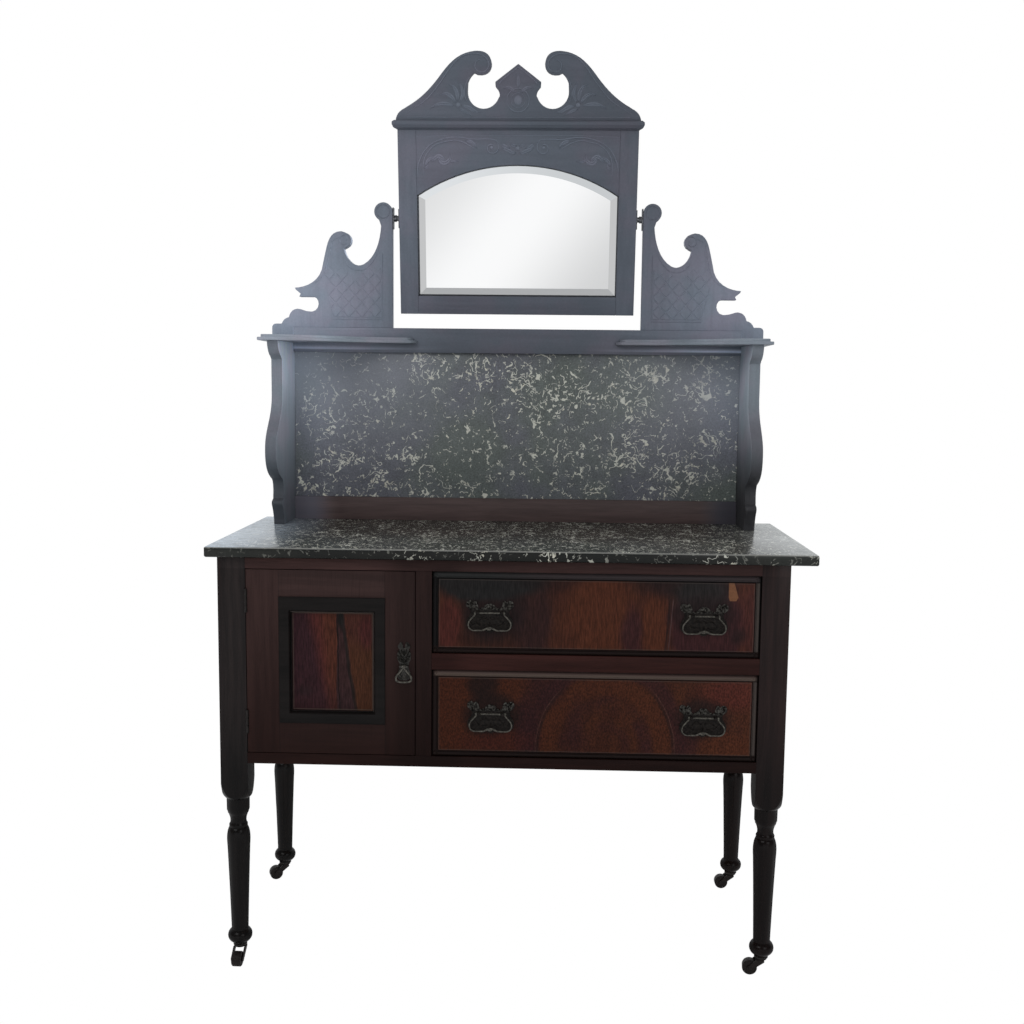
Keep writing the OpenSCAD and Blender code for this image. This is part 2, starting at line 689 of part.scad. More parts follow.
// Half path of a bail, from its pivot down to the middle of its grip
bail_x = bail_w / 2 - bail_t / 2;
bail_z = -bail_drop + bail_t / 2;
bail_half = concat(
    [[bail_span / 2, bail_r + 0.6], [bail_span / 2, -1.5]],
    bez([bail_span / 2 + 0.6, -3.2], [bail_span / 2 + 4, -8],
        [bail_x - 2.6, bail_z * 0.38], [bail_x - 0.3, bail_z * 0.56], 4),
    bez([bail_x + 0.2, bail_z * 0.68], [bail_x, bail_z * 0.86],
        [bail_x - 3.5, bail_z], [bail_x - 9.5, bail_z], 4),
    [[bail_span * 0.3, bail_z], [bail_span * 0.22, bail_z + 0.6], [bail_span * 0.13, bail_z + 3],
     [bail_span * 0.05, bail_z + 4.3], [0, bail_z + 4.5]]
);
module bail() {
    path = whole(bail_half);
    translate([0, -bail_t / 2, 0]) plate_xz(bail_t) polygon(concat(
        beside_path(path, bail_t / 2), backwards(beside_path(path, -bail_t / 2))));
    rod_x([-bail_span / 2, bail_span / 2], bail_r);
}
function handle_x(s, shift) = case_x + drawer_mid + shift + s * (drawer_bay_w / 2 - handle_in);
upper_handle_z = upper_bay_z + upper_bay_h / 2 - handle_drop;
lower_handle_z = bay_z + lower_bay_h / 2 - handle_drop;
module bail_at(x, z) color(brass) translate([x, field_y - bail_out, z + pivot_above_plate]) bail();
module bail_upper_left() bail_at(handle_x(-1, upper_handle_shift), upper_handle_z);
module bail_upper_right() bail_at(handle_x(1, upper_handle_shift), upper_handle_z);
module bail_lower_left() bail_at(handle_x(-1, lower_handle_shift), lower_handle_z);
module bail_lower_right() bail_at(handle_x(1, lower_handle_shift), lower_handle_z);

// Leaf-shaped plate of the door's pull, about its pivot; its lower lobe lies behind the ring
pull_half = [
    [0, 31.5], [2, 33.5], [2.5, 39], [4, 42.5], [6.5, 42.5], [9.5, 38.5], [11.5, 34.5], [10, 31.5],
    [8, 30.5], [9.5, 27], [11.8, 22], [12, 16], [11, 10], [8.5, 4.5], [7.2, 0], [8, -5],
    [10.5, -11], [12.2, -17], [11.6, -21.5], [8.5, -25], [4, -26.5], [0, -26.5]
];
pull_lug_x = 4;
pull_lug_w = 3;
module pull_plate() color(brass) translate([case_x + pull_x, case_front, pull_z]) difference() {
    union() {
        translate([0, -plate_t, 0]) plate_xz(plate_t) polygon(concat(pull_half, flip(pull_half)));
        for (s = [-1, 1]) {
            x = s > 0 ? [pull_lug_x, pull_lug_x + pull_lug_w] : [-pull_lug_x - pull_lug_w, -pull_lug_x];
            box(x, [-pull_out, -plate_t + eps], [-pull_lug_r, pull_lug_r]);
            box(x, [-plate_t, 0], [-pull_lug_r, pull_lug_r + 4]);
            translate([0, -pull_out, 0]) rod_x(x, pull_lug_r);
        }
    }
    translate([0, -pull_out, 0]) rod_x([-20, 20], pull_pin_r + run);
}
ring_x = pull_w / 2 - bail_t / 2;
ring_bottom = -pull_h + bail_t / 2;
ring_half = concat(
    [[0, -1], [3, -5.2]],
    bez([6.4, -9.8], [ring_x - 2.4, ring_bottom * 0.54],
        [ring_x + 0.5, ring_bottom * 0.64], [ring_x, ring_bottom * 0.8], 4),
    bez([ring_x - 0.6, ring_bottom * 0.88], [ring_x - 2.5, ring_bottom * 0.98],
        [6, ring_bottom], [0, ring_bottom], 4)
);
ring_loop = [for (i = [0:2 * len(ring_half) - 3]) whole(ring_half)[i]];
module ring_pull() color(brass)
    translate([case_x + pull_x, case_front - pull_out, pull_z]) {
        translate([0, -bail_t / 2, 0]) difference() {
            plate_xz(bail_t) polygon(beside_loop(ring_loop, bail_t / 2));
            translate([0, -1, 0]) plate_xz(bail_t + 2)
                polygon(beside_loop(ring_loop, -bail_t / 2));
        }
        rod_x([-pull_lug_x + 0.4, pull_lug_x - 0.4], pull_lug_r);
        rod_x([-pull_lug_x - pull_lug_w - 1, pull_lug_x + pull_lug_w + 1], pull_pin_r);
    }

// ---------------------------------------------------------------- drawers

// Border of a drawer front: distance in from the edge, height above the edge's face
border = concat(
    [[0, 0]],
    arc([border_w * 0.42, 0], border_w * 0.34, 180, 90, 5),
    [[border_w * 0.62, border_w * 0.30], [border_w * 0.66, border_w * 0.18]],
    [[border_w * 0.8, border_w * 0.22], [border_w, field_rise]]
);
module front_slice(half, lo) polygon(concat(
    [[-half, lo]], [for (p = border) [-half + p[0], -p[1]]],
    [for (i = [len(border) - 1:-1:0]) [half - border[i][0], -border[i][1]]], [[half, lo]]
));
module drawer_front(z, h) color(veneer) translate([case_x + drawer_mid, edge_y, z + h / 2])
    intersection() {
        translate([0, 0, -h]) linear_extrude(2 * h) front_slice(drawer_w / 2, front_t);
        translate([-drawer_w, 0, 0]) rotate([90, 0, 90]) linear_extrude(2 * drawer_w)
            rotate([0, 0, -90]) mirror([1, 0]) front_slice((h - 2 * drawer_gap) / 2, front_t);
    }
module drawer_tray(z, side_h) color(pale_wood) translate([case_x, 0, 0]) {
    y0 = edge_y + front_t;
    z0 = z + slack;
    x0 = drawer_bay_x + drawer_gap;
    x1 = in_x - drawer_gap;
    for (x = [[x0, x0 + side_t], [x1 - side_t, x1]]) box(x, [y0, tray_back], [z0, z0 + side_h]);
    inside = [x0 + side_t - housing, x1 - side_t + housing];
    box(inside, [tray_back - side_t, tray_back], [z0, z0 + side_h - 8]);
    box(inside, [y0, tray_back - side_t + housing],
        [z0 + tray_bottom_up, z0 + tray_bottom_up + tray_bottom_t]);
}
module drawer_plates(shift, z) color(brass) for (s = [-1, 1])
    translate([handle_x(s, shift), field_y, z]) handle_plate();
module drawer_upper_front() drawer_front(upper_bay_z, upper_bay_h);
module drawer_upper_tray() drawer_tray(upper_bay_z, upper_side_h);
module drawer_upper_plates() drawer_plates(upper_handle_shift, upper_handle_z);
module drawer_lower_front() drawer_front(bay_z, lower_bay_h);
module drawer_lower_tray() drawer_tray(bay_z, lower_side_h);
module drawer_lower_plates() drawer_plates(lower_handle_shift, lower_handle_z);

// ---------------------------------------------------------------- gallery

wing_h = shelf_z - top_z;
// Front outline of a wing: depth forward of its back, height above the marble
wing_front = concat(
    [[wing_foot - 6, 0]],
    bez([wing_foot - 6, 6], [wing_foot - 2, 18], [wing_foot + 3, 30], [wing_foot + 10, 38], 5),
    arc([wing_foot + 7, 44], 6, -30, 80, 4),
    [[wing_foot, 53]],
    bez([wing_foot, 56], [wing_foot - 3, 70], [wing_foot - 2, 80], [wing_foot + 4, 88], 5),
    bez([wing_foot + 8, 92], [wing_belly - 6, 108], [wing_belly + 3, 128], [wing_belly, 160], 9),
    bez([wing_belly, 160], [wing_belly - 4, 196], [wing_neck + 2, 214], [wing_neck, 258], 10),
    [[wing_neck, wing_h - 36], [wing_neck + 6, wing_h - 33]],
    bez([wing_neck + 8, wing_h - 31], [wing_head - 10, wing_h - 26],
        [wing_head - 2, wing_h - 12], [wing_head, wing_h], 7)
);
module wing(s) color(dark_wood)
    translate([gallery_x + (s > 0 ? wing_in : -wing_out), 0, top_z]) plate_yz(wing_t)
        polygon(concat([for (p = wing_front) [gallery_rear - p[0], p[1]]],
            [[gallery_rear, wing_h], [gallery_rear, 0]]));
module wing_left() wing(-1);
module wing_right() wing(1);

// Rail with a rebate in its back for the splash marble: s 1 laps its top edge, -1 its bottom
module gallery_rail(z, h, s) color(dark_wood) translate([gallery_x, 0, 0]) difference() {
    box([-wing_in, wing_in], [gallery_front, gallery_mate], [z, z + h]);
    box([-wing_in - 1, wing_in + 1], [gallery_mate - splash_t - 0.2, gallery_mate + 1],
        s > 0 ? [z + h - splash_lap - slack, z + h + 1] : [z - 1, z + splash_lap + slack]);
}
module splash_bottom_rail() gallery_rail(top_z, splash_rail_h, 1);
module splash_top_rail() gallery_rail(crown_z, crown_rail_h, -1);
module splash_marble() color(marble_dark) translate([gallery_x, 0, 0])
    box([-wing_in + slack, wing_in - slack], [gallery_mate - splash_t, gallery_mate],
        [splash_z - splash_lap, crown_z + splash_lap]);
module gallery_back() color(pale_wood) translate([gallery_x, 0, 0])
    box([-wing_in, wing_in], [gallery_mate, gallery_rear], [top_z, crown_top]);

// Plan of one shelf tier, with its moulded edges drawn in by k
module shelf_plan(k) {
    tip_y = gallery_rear - shelf_d + k;
    x0 = wing_in - shelf_l + wing_t + k;
    polygon(concat(
        [[wing_in, gallery_front]],
        arc([x0 + 30, gallery_front], 30 - k * 0.3, 180, 232, 5),
        bez([x0 + 44, gallery_front - 30 + k], [x0 + 150, gallery_front - 50 + k],
            [shelf_out - 130, tip_y + 22], [shelf_out - 26 - k, tip_y - 6], 12),
        arc([shelf_out - 12 - k, tip_y + 5], 12, 247, 360, 5),
        [[shelf_out + shelf_flare - k, gallery_rear], [wing_in, gallery_rear]]
    ));
}
// The foot of each upright is let into the upper tier
module shelves() color(dark_wood) translate([gallery_x, 0, 0]) mirrored_x() {
    translate([0, 0, shelf_z]) linear_extrude(tier_low) shelf_plan(0);
    translate([0, 0, shelf_z + tier_low]) linear_extrude(tier_up) difference() {
        shelf_plan(tier_step);
        translate([wing_in - eps, gallery_front])
            square([upright_out - wing_in + eps, gallery_t]);
    }
}

// Outline of the right upright: distance out from its inner edge, height above the shelf
uw = upright_out - upright_x;
uh = upright_h;
function up(a, b) = [a * uw / 250, b * uh / 272];
upright_outline = concat(
    [[0, crown_top - shelf_top]],
    arc([disc_r, uh - disc_r], disc_r, 180, -62, 16),
    bez(up(23, 225), up(25, 195), up(34, 162), up(59, 148), 8),
    bez(up(65, 146), up(75, 143), up(96, 155), up(100, 179), 7),
    bez(up(94, 182), up(81, 188), up(81, 208), up(98, 212), 6),
    bez(up(105, 214), up(131, 214), up(134, 188), up(139, 168), 8),
    bez(up(143, 150), up(147, 112), up(179, 101), up(202, 100), 8),
    [up(200, 96), up(190, 88), up(193, 82), up(166, 82)],
    bez(up(163, 82), up(148, 79), up(150, 54), up(166, 52), 6),
    bez(up(170, 52), up(186, 52), up(192, 61), up(203, 56), 5),
    bez(up(207, 54), up(212, 50), up(214, 45), up(215, 40), 3),
    bez(up(219, 39), up(225, 37), up(228, 32), up(230, 27), 3),
    [up(238, 27)],
    arc(up(242, 19), 8 * uw / 250, 90, 0, 4),
    [up(250, 0), [upright_out - upright_x, -tier_up], [wing_in - upright_x, -tier_up],
     [wing_in - upright_x, crown_top - shelf_top]]
);
module upright(s) color(dark_wood)
    translate([gallery_x, gallery_front, shelf_top]) mirror([s < 0 ? 1 : 0, 0, 0])
        translate([upright_x, 0, 0]) plate_xz(gallery_t) polygon(upright_outline);
module upright_left() upright(-1);
module upright_right() upright(1);

// Plate and bored boss on each upright's inner edge
module pivot_brackets() color(brass) translate([gallery_x, pivot_y, pivot_z]) mirrored_x()
    difference() {
        union() {
            box([upright_x - bracket_t, upright_x], [-bracket_w / 2, bracket_w / 2],
                [-bracket_h / 2, bracket_h / 2]);
            rod_x([upright_x - bracket_t - boss_l, upright_x - bracket_t + eps], boss_r);
        }
        rod_x([upright_x - bracket_t - boss_l - 1, upright_x + 1], pivot_r + run);
    }

// Cranked iron strips with two screws each, from the back rail over the marble to the gallery
module back_plates() color(iron) for (x = [-in_x + back_plate_in, in_x - back_plate_in]) {
    t = back_plate_t;
    low = case_top - back_plate_down;
    high = top_z + back_plate_up;
    translate([case_x + x - back_plate_w / 2, 0, 0]) plate_yz(back_plate_w) polygon([
        [case_back, low], [case_back + t, low], [case_back + t, case_top - t],
        [slab_back + t, case_top - t], [slab_back + t, top_z + t], [gallery_rear + t, top_z + t],
        [gallery_rear + t, high], [gallery_rear, high], [gallery_rear, top_z],
        [slab_back, top_z], [slab_back, case_top], [case_back, case_top]
    ]);
    for (p = [[case_back + t, low + back_plate_w / 2], [gallery_rear + t, high - back_plate_w / 2]])
        translate([case_x + x, p[0], p[1]]) rotate([-90, 0, 0])
            cylinder(r = screw_r, h = screw_head);
}

// ---------------------------------------------------------------- mirror

// The mirror's own frame: X across, Y through its thickness, Z up the glass, origin on its pivot
module on_mirror() translate([gallery_x, pivot_y, pivot_z]) rotate([mirror_lean, 0, 0]) children();
// Outline of the arched light, grown by g on every side
function light(g) = concat(
    [[-glass_half - g, -glass_low - g], [glass_half + g, -glass_low - g],
     [glass_half + g, spring_h]],
    let (a = asin(glass_half / arch_r)) [
        for (i = [0:24]) let (b = a - 2 * a * i / 24)
            [(arch_r + g) * sin(b), spring_h + arch_rise - arch_r + (arch_r + g) * cos(b)]
    ],
    [[-glass_half - g, spring_h]]
);
module light_cut() {
    translate([0, -mirror_t, 0]) plate_xz(2 * mirror_t) polygon(light(0));
    translate([0, rebate_y, 0]) plate_xz(mirror_t) polygon(light(rebate));
}
module mirror_stiles() color(dark_wood) on_mirror() mirrored_x() difference() {
    box([glass_half, mirror_half], [-mirror_t / 2, mirror_t / 2], [-mirror_low, mirror_high]);
    light_cut();
}
module mirror_bottom_rail() color(dark_wood) on_mirror() difference() {
    box([-glass_half, glass_half], [-mirror_t / 2, mirror_t / 2],
        [-mirror_low, -mirror_low + mirror_rail]);
    light_cut();
}
module mirror_head() color(dark_wood) on_mirror() difference() {
    box([-glass_half, glass_half], [-mirror_t / 2, mirror_t / 2], [spring_h, mirror_high]);
    light_cut();
}
// Section of the cornice: distance out from the frame's face, height above the frame
cornice_section = concat(
    [[0, 0], [cornice_out * 0.15, 0]],
    arc([cornice_out * 0.15, cornice_h * 0.5], cornice_out * 0.75, -90, -10, 5),
    [[cornice_out, cornice_h * 0.5], [cornice_out, cornice_h * 0.82], [cornice_out * 0.6, cornice_h]]
);
module mirror_cornice() color(dark_wood) on_mirror() translate([0, 0, mirror_high])
    intersection() {
        translate([-mirror_w, 0, 0]) plate_yz(2 * mirror_w) polygon(concat(
            [for (p = cornice_section) [-mirror_t / 2 - p[0], p[1]]],
            [[mirror_t / 2, cornice_h], [mirror_t / 2, 0]]));
        translate([0, -2 * mirror_t, 0]) plate_xz(4 * mirror_t) polygon(concat(
            [for (p = cornice_section) [mirror_half + p[0], p[1]]],
            flip([for (p = cornice_section) [mirror_half + p[0], p[1]]])));
    }
// Right half of the crest, from the middle out: distance from the middle, height above the cornice
function cr(a, b) = [a * (mirror_half + 3) / 242.5, b * crest_h / 130];
crest_half = concat(
    [cr(0, 106), cr(45, 72.5), cr(44.5, 63.5)],
    bez(cr(43.5, 62), cr(37.5, 56), cr(35.5, 50), cr(36.5, 45), 4),
    arc(cr(68, 54), 32 * crest_h / 130, 200, 363, 14),
    bez(cr(99, 71), cr(96, 80), cr(91, 85.5), cr(86.5, 89), 4),
    bez(cr(80, 86), cr(60, 83), cr(52, 95), cr(52.2, 106), 7),
    bez(cr(52.5, 108), cr(54, 124), cr(66, 130), cr(79, 130), 7),
    bez(cr(84, 130), cr(118, 127), cr(135, 108), cr(154, 84), 9),
    bez(cr(157, 80), cr(175, 58), cr(193, 40), cr(221, 25), 8),
    bez(cr(224, 23), cr(237, 17), cr(241, 10), cr(243, 0), 6)
);
module mirror_crest() color(dark_wood) on_mirror()
    translate([0, mirror_t / 2 - crest_t, mirror_high + cornice_h]) plate_xz(crest_t)
        polygon(concat(crest_half, flip(crest_half)));
module mirror_glass() color(silvered) on_mirror() translate([0, rebate_y, 0])
    plate_xz(glass_t) polygon(light(rebate - slack));
module mirror_back() color(pale_wood) on_mirror() translate([0, rebate_y + glass_t + slack, 0])
    plate_xz(mirror_back_t) polygon(light(rebate - slack));
// Plate, collar and pin on each edge of the mirror frame
module mirror_pivots() color(brass) on_mirror() mirrored_x() {
    end = upright_x - 0.5;
    box([mirror_half, mirror_half + pivot_plate_t], [-pivot_plate_w / 2, pivot_plate_w / 2],
        [-pivot_plate_h / 2, pivot_plate_h / 2]);
    rod_x([mirror_half + pivot_plate_t - eps, upright_x - bracket_t - boss_l - slack], collar_r);
    rod_x([mirror_half + 1, end], pivot_r);
}

post_front_left();
post_front_right();
post_back_left();
post_back_right();
side_panels();
top_rail();
drawer_rail();
bottom_rail();
muntin();
partition();
case_bottom();
back_board();
back_rail();
drawer_runners();
marble_top();
wing_left();
wing_right();
splash_bottom_rail();
splash_top_rail();
splash_marble();
gallery_back();
shelves();
upright_left();
upright_right();
pivot_brackets();
castor_sockets();
hinge_leaves_fixed();
back_plates();
mirror_stiles();
mirror_bottom_rail();
mirror_head();
mirror_cornice();
mirror_crest();
mirror_glass();
mirror_back();
mirror_pivots();
door_frame();
door_moulding();
door_panel();
hinge_leaves_moving();
pull_plate();
ring_pull();
drawer_upper_front();
drawer_upper_tray();
drawer_upper_plates();
drawer_lower_front();
drawer_lower_tray();
drawer_lower_plates();
bail_upper_left();
bail_upper_right();
bail_lower_left();
bail_lower_right();
castor_fork_fl();
castor_fork_fr();
castor_fork_bl();
castor_fork_br();
castor_wheel_fl();
castor_wheel_fr();
castor_wheel_bl();
castor_wheel_br();
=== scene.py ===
import json
import math

import bmesh
import bpy
from mathutils import Matrix, Vector
from mathutils.geometry import interpolate_bezier as bez

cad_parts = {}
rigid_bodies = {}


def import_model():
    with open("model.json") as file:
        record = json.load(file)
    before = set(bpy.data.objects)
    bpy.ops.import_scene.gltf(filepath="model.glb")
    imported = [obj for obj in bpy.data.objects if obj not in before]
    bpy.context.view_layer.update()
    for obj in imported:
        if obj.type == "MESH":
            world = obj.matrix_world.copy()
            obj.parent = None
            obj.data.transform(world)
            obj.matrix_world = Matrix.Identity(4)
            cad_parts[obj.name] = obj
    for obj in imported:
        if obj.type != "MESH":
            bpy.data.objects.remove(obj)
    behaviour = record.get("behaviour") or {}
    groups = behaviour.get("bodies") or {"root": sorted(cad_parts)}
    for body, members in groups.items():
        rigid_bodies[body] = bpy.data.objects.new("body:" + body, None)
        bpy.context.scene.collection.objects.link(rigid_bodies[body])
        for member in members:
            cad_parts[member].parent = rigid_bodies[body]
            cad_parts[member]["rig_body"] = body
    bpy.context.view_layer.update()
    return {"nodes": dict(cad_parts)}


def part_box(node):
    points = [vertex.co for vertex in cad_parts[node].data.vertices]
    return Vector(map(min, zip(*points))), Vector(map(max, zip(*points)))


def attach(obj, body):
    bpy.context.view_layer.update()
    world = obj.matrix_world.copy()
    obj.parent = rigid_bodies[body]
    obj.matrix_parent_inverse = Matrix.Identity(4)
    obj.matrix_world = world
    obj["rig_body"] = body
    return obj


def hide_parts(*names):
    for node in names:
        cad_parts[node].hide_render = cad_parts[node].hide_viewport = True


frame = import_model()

MM = 0.001
NODES = frame["nodes"]

# The mirror's tilt axis and the planes that relief work stands on, in millimetres
GALLERY_X, PIVOT_Y, PIVOT_Z, LEAN = -4.5, 198.55, 1399.5, 9.0
GLASS_HALF, GLASS_LOW, SPRING, RISE = 204.0, 155.0, 46.0, 60.0
MIRROR_HIGH, CORNICE_H, CREST_T, MIRROR_T = 173.0, 18.0, 20.0, 22.0
UPRIGHT_X, UPRIGHT_FACE, SHELF_TOP = 255.0, 187.55, 1157.5
CASE_X, CASE_FRONT, FIELD_Y = -13.0, -219.45, -221.45
DOOR_X0, DOOR_X1, STILE_LEFT, STILE_RIGHT = CASE_X - 452.8, CASE_X - 152.7, 58, 53
PULL_X, PULL_Z, PULL_T = CASE_X - 171.7, 569.2, 1.55
HANDLE_X, HANDLE_APART, PLATE_T, BAR_UP = CASE_X + 165.5, 187.3, 1.65, 7.5
SUNK = -0.1      # how far the foot of relief work goes into the face that it stands on


# ---- meshes

class Shape:
    """Collects vertices, in millimetres, and faces of one object."""

    def __init__(self):
        self.v, self.f = [], []

    def add(self, verts, faces, place=lambda *p: p):
        n = len(self.v)
        self.v += [place(*p) for p in verts]
        self.f += [[i + n for i in f] for f in faces]

    def make(self, name, angle):
        me = bpy.data.meshes.new(name)
        me.from_pydata([[c * MM for c in p] for p in self.v], [], self.f)
        bm = bmesh.new()
        bm.from_mesh(me)
        bmesh.ops.recalc_face_normals(bm, faces=bm.faces)
        return finished(bm, me, angle)


def finished(bm, me, angle):
    """An object of the mesh, smooth but for edges sharper than the angle in degrees."""
    bm.to_mesh(me)
    bm.free()
    me.polygons.foreach_set("use_smooth", [True] * len(me.polygons))
    me.set_sharp_from_angle(angle=math.radians(angle))
    me.update()
    return link(me.name, me)


def link(name, data):
    ob = bpy.data.objects.new(name, data)
    bpy.context.scene.collection.objects.link(ob)
    return ob


def give(ob, mat):
    ob.data.materials.clear()
    ob.data.materials.append(mat)


def piece(ob, body, slot, mat, *replaced):
    give(ob, mat)
    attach(ob, body)
    if replaced:
        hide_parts(*replaced)


def eased(node, mat, slot, width, segs, angle=32):
    """A board of the frame with its sharp edges rounded over, as sanded and polished wood is."""
    src = NODES[node]
    bm = bmesh.new()
    bm.from_mesh(src.data)
    bmesh.ops.remove_doubles(bm, verts=bm.verts, dist=2e-6)
    bmesh.ops.dissolve_limit(bm, angle_limit=math.radians(0.6), verts=bm.verts, edges=bm.edges)
    bmesh.ops.recalc_face_normals(bm, faces=bm.faces)
    sharp = [e for e in bm.edges if len(e.link_faces) == 2
             and e.calc_face_angle(0) > math.radians(angle)]
    bmesh.ops.bevel(bm, geom=sharp, offset=width * MM, offset_type="OFFSET", segments=segs,
                    profile=0.5, affect="EDGES", clamp_overlap=True)
    ob = finished(bm, bpy.data.meshes.new(node + "_eased"), angle)
    piece(ob, src["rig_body"], slot, mat, node)


def spiral(cx, cz, r0, r1, a0, a1, n):
    """Points on a spiral, or on an arc where both radii are the same; angles in degrees."""
    out = []
    for i in range(n + 1):
        r, a = r0 + (r1 - r0) * i / n, math.radians(a0 + (a1 - a0) * i / n)
        out.append((cx + r * math.cos(a), cz + r * math.sin(a)))
    return out


def curve(points, n=6):
    """A smooth path through the given points."""
    pts = [Vector(p) for p in points]
    ext = [pts[0] * 2 - pts[1]] + pts + [pts[-1] * 2 - pts[-2]]
    out = []
    for i in range(1, len(ext) - 2):
        a, b, c, d = ext[i - 1:i + 3]
        for k in range(n):
            t = k / n
            out.append(tuple(0.5 * (2 * b + (c - a) * t + (2 * a - 5 * b + 4 * c - d) * t * t
                                    + (3 * b - a - 3 * c + d) * t ** 3)))
    return out + [tuple(pts[-1])]


def pairs(*xz):
    """Points from plain numbers: across, up, across, up and so on."""
    return list(zip(xz[::2], xz[1::2]))


def whole(half):
    """A closed outline from its right half, which runs from the middle to the middle."""
    return half + [(-x, z) for x, z in half[-2:0:-1]]


def circle(n):
    return [(math.cos(2 * math.pi * j / n), math.sin(2 * math.pi * j / n)) for j in range(n)]


def quads(rows, cols, round_=True, closed=False):
    """Faces between rows of vertices; a row may be a ring, and the last row may meet the first."""
    out = []
    for i in range(rows if closed else rows - 1):
        a, b = i * cols, (i + 1) % rows * cols
        for j in range(cols if round_ else cols - 1):
            k = (j + 1) % cols
            out.append((a + j, a + k, b + k, b + j))
    return out


def shut(rows, cols):
    """Faces between rings, and those that shut the first and the last ring."""
    return quads(rows, cols) + [range(cols)[::-1], range((rows - 1) * cols, rows * cols)]


# Sections of relief work: place across its width, share of its height
LINE = [(-0.5, -0.1), (-0.4, 0.55), (-0.2, 0.92), (0, 1), (0.2, 0.92), (0.4, 0.55), (0.5, -0.1)]
LOBES = [(-0.5, -0.1), (-0.36, 0.75), (-0.2, 1), (-0.06, 0.45), (0, 0.2), (0.06, 0.45), (0.2, 1),
         (0.36, 0.75), (0.5, -0.1)]


def sweep(shape, place, path, section, size):
    """A section along a flat path; size gives its width and height from 0 to 1 of the way."""
    pts = [Vector(p) for p in path]
    n, verts = len(pts), []
    for i, p in enumerate(pts):
        d = (pts[min(i + 1, n - 1)] - pts[max(i - 1, 0)]).normalized()
        w, h = size(i / (n - 1))
        for a, b in section:
            q = p + Vector((-d.y, d.x)) * a * w
            verts.append((q.x, q.y, b * h if b > 0 else SUNK))
    shape.add(verts, quads(n, len(section), False), place)


def ridge(shape, place, path, width, height, ends=0.15):
    """A raised line that dies away over a share of its length at both ends."""
    def size(t):
        fade = min(1, (min(t, 1 - t) / ends) ** 0.5) if ends else 1
        return width * max(fade, 0.12), height * max(fade, 0.1)
    sweep(shape, place, path, LINE, size)


def leaf(shape, place, path, width, height):
    """A carved leaf: two swelling lobes beside a groove along its middle."""
    def size(t):
        belly = 0.18 + 0.82 * math.sin(math.pi * min(1, t * 1.05) ** 0.75)
        swell = math.sin(math.pi * (0.15 + 0.8 * t)) ** 0.5
        return width * max(belly, 0.05), height * max(swell, 0.15)
    sweep(shape, place, path, LOBES, size)


def dome(shape, place, centre, r, h, rings=5, seg=20, squash=1.0):
    cx, cz = centre[0]
    verts = [(cx, cz, h)]
    for i in range(1, rings + 1):
        a = math.pi / 2 * i / rings
        foot = SUNK if i == rings else 0
        verts += [(cx + r * math.sin(a) * x, cz + r * squash * math.sin(a) * z,
                   h * math.cos(a) + foot) for x, z in circle(seg)]
    shape.add(verts, [(0, 1 + j, 1 + (j + 1) % seg) for j in range(seg)]
              + [[k + 1 for k in f] for f in quads(rings, seg)], place)


def relief(shape, place, rows, up=0.0, sides=(1, -1)):
    """Relief work and its mirror image, from rows of kind, points, width, height and so on.

    Plain numbers in brackets, across and up in turn, are a smooth path."""
    for side in sides:
        for kind, pts, *how in rows:
            if isinstance(pts, tuple):
                pts = curve(pairs(*pts))
            kind(shape, place, [(side * x, z + up) for x, z in pts], *how)


def offset(loop, d):
    """A closed flat outline moved inwards by d (anticlockwise outlines)."""
    n = len(loop)
    pts = [Vector(p) for p in loop]
    out = []
    for i in range(n):
        a = (pts[i] - pts[i - 1]).normalized()
        b = (pts[(i + 1) % n] - pts[i]).normalized()
        m = Vector((-a.y - b.y, a.x + b.x))
        q = m.length_squared
        out.append(tuple(pts[i] + (m * 2 * d / q if q > 0.3 else m * d)))
    return out


def plate(shape, loop, t, round_, place):
    """A flat plate cut to an outline, with its front edge rounded over."""
    area = sum(loop[i - 1][0] * loop[i][1] - loop[i][0] * loop[i - 1][1] for i in range(len(loop)))
    if area < 0:
        loop = loop[::-1]
    rings = [(0, 0), (0, t - round_), (round_ * 0.3, t - round_ * 0.3), (round_, t)]
    verts = [(x, z, w) for d, w in rings for x, z in (offset(loop, d) if d else loop)]
    shape.add(verts, shut(4, len(loop)), place)


def tube(shape, path, radius, seg=14, closed=False):
    """A round rod along a path in an upright plane that faces forward."""
    pts = [Vector(p) for p in path]
    n, verts, out = len(pts), [], Vector((0, 1, 0))
    for i, p in enumerate(pts):
        a = pts[i - 1] if closed or i else p
        b = pts[(i + 1) % n] if closed or i < n - 1 else p
        side = (b - a).normalized().cross(out)
        r = radius(i / (n - 1)) if callable(radius) else radius
        verts += [p + (side * x + out * z) * r for x, z in circle(seg)]
    shape.add(verts, quads(n, seg, True, True) if closed else shut(n, seg))


def lathe(shape, profile, place, seg):
    """A turned form: radius and height about the third axis of the place."""
    shape.add([(r * x, r * z, h) for r, h in profile for x, z in circle(seg)],
              shut(len(profile), seg), place)


def front(x, y, z):
    """Flat work on a face that looks forward: across, up, out."""
    return lambda u, v, w: (x + u, y - w, z + v)


def across(x, y, z, size=1.0):
    """Turned work about an axis that runs from side to side."""
    return lambda u, v, w: (x + w, y + u * size, z + v * size)


def moved(place, x, z, out):
    return lambda u, v, w: place(x + u, z + v, w + out)


LEAN_M = Matrix.Rotation(math.radians(LEAN), 3, "X")


def on_mirror(face_y):
    def place(u, v, w):
        q = LEAN_M @ Vector((u, face_y - w, v))
        return q.x + GALLERY_X, q.y + PIVOT_Y, q.z + PIVOT_Z
    return place


# ---- materials

def op(name, swap=False):
    return lambda a, b=0.0: a.g.math(name, b, a) if swap else a.g.math(name, a, b)


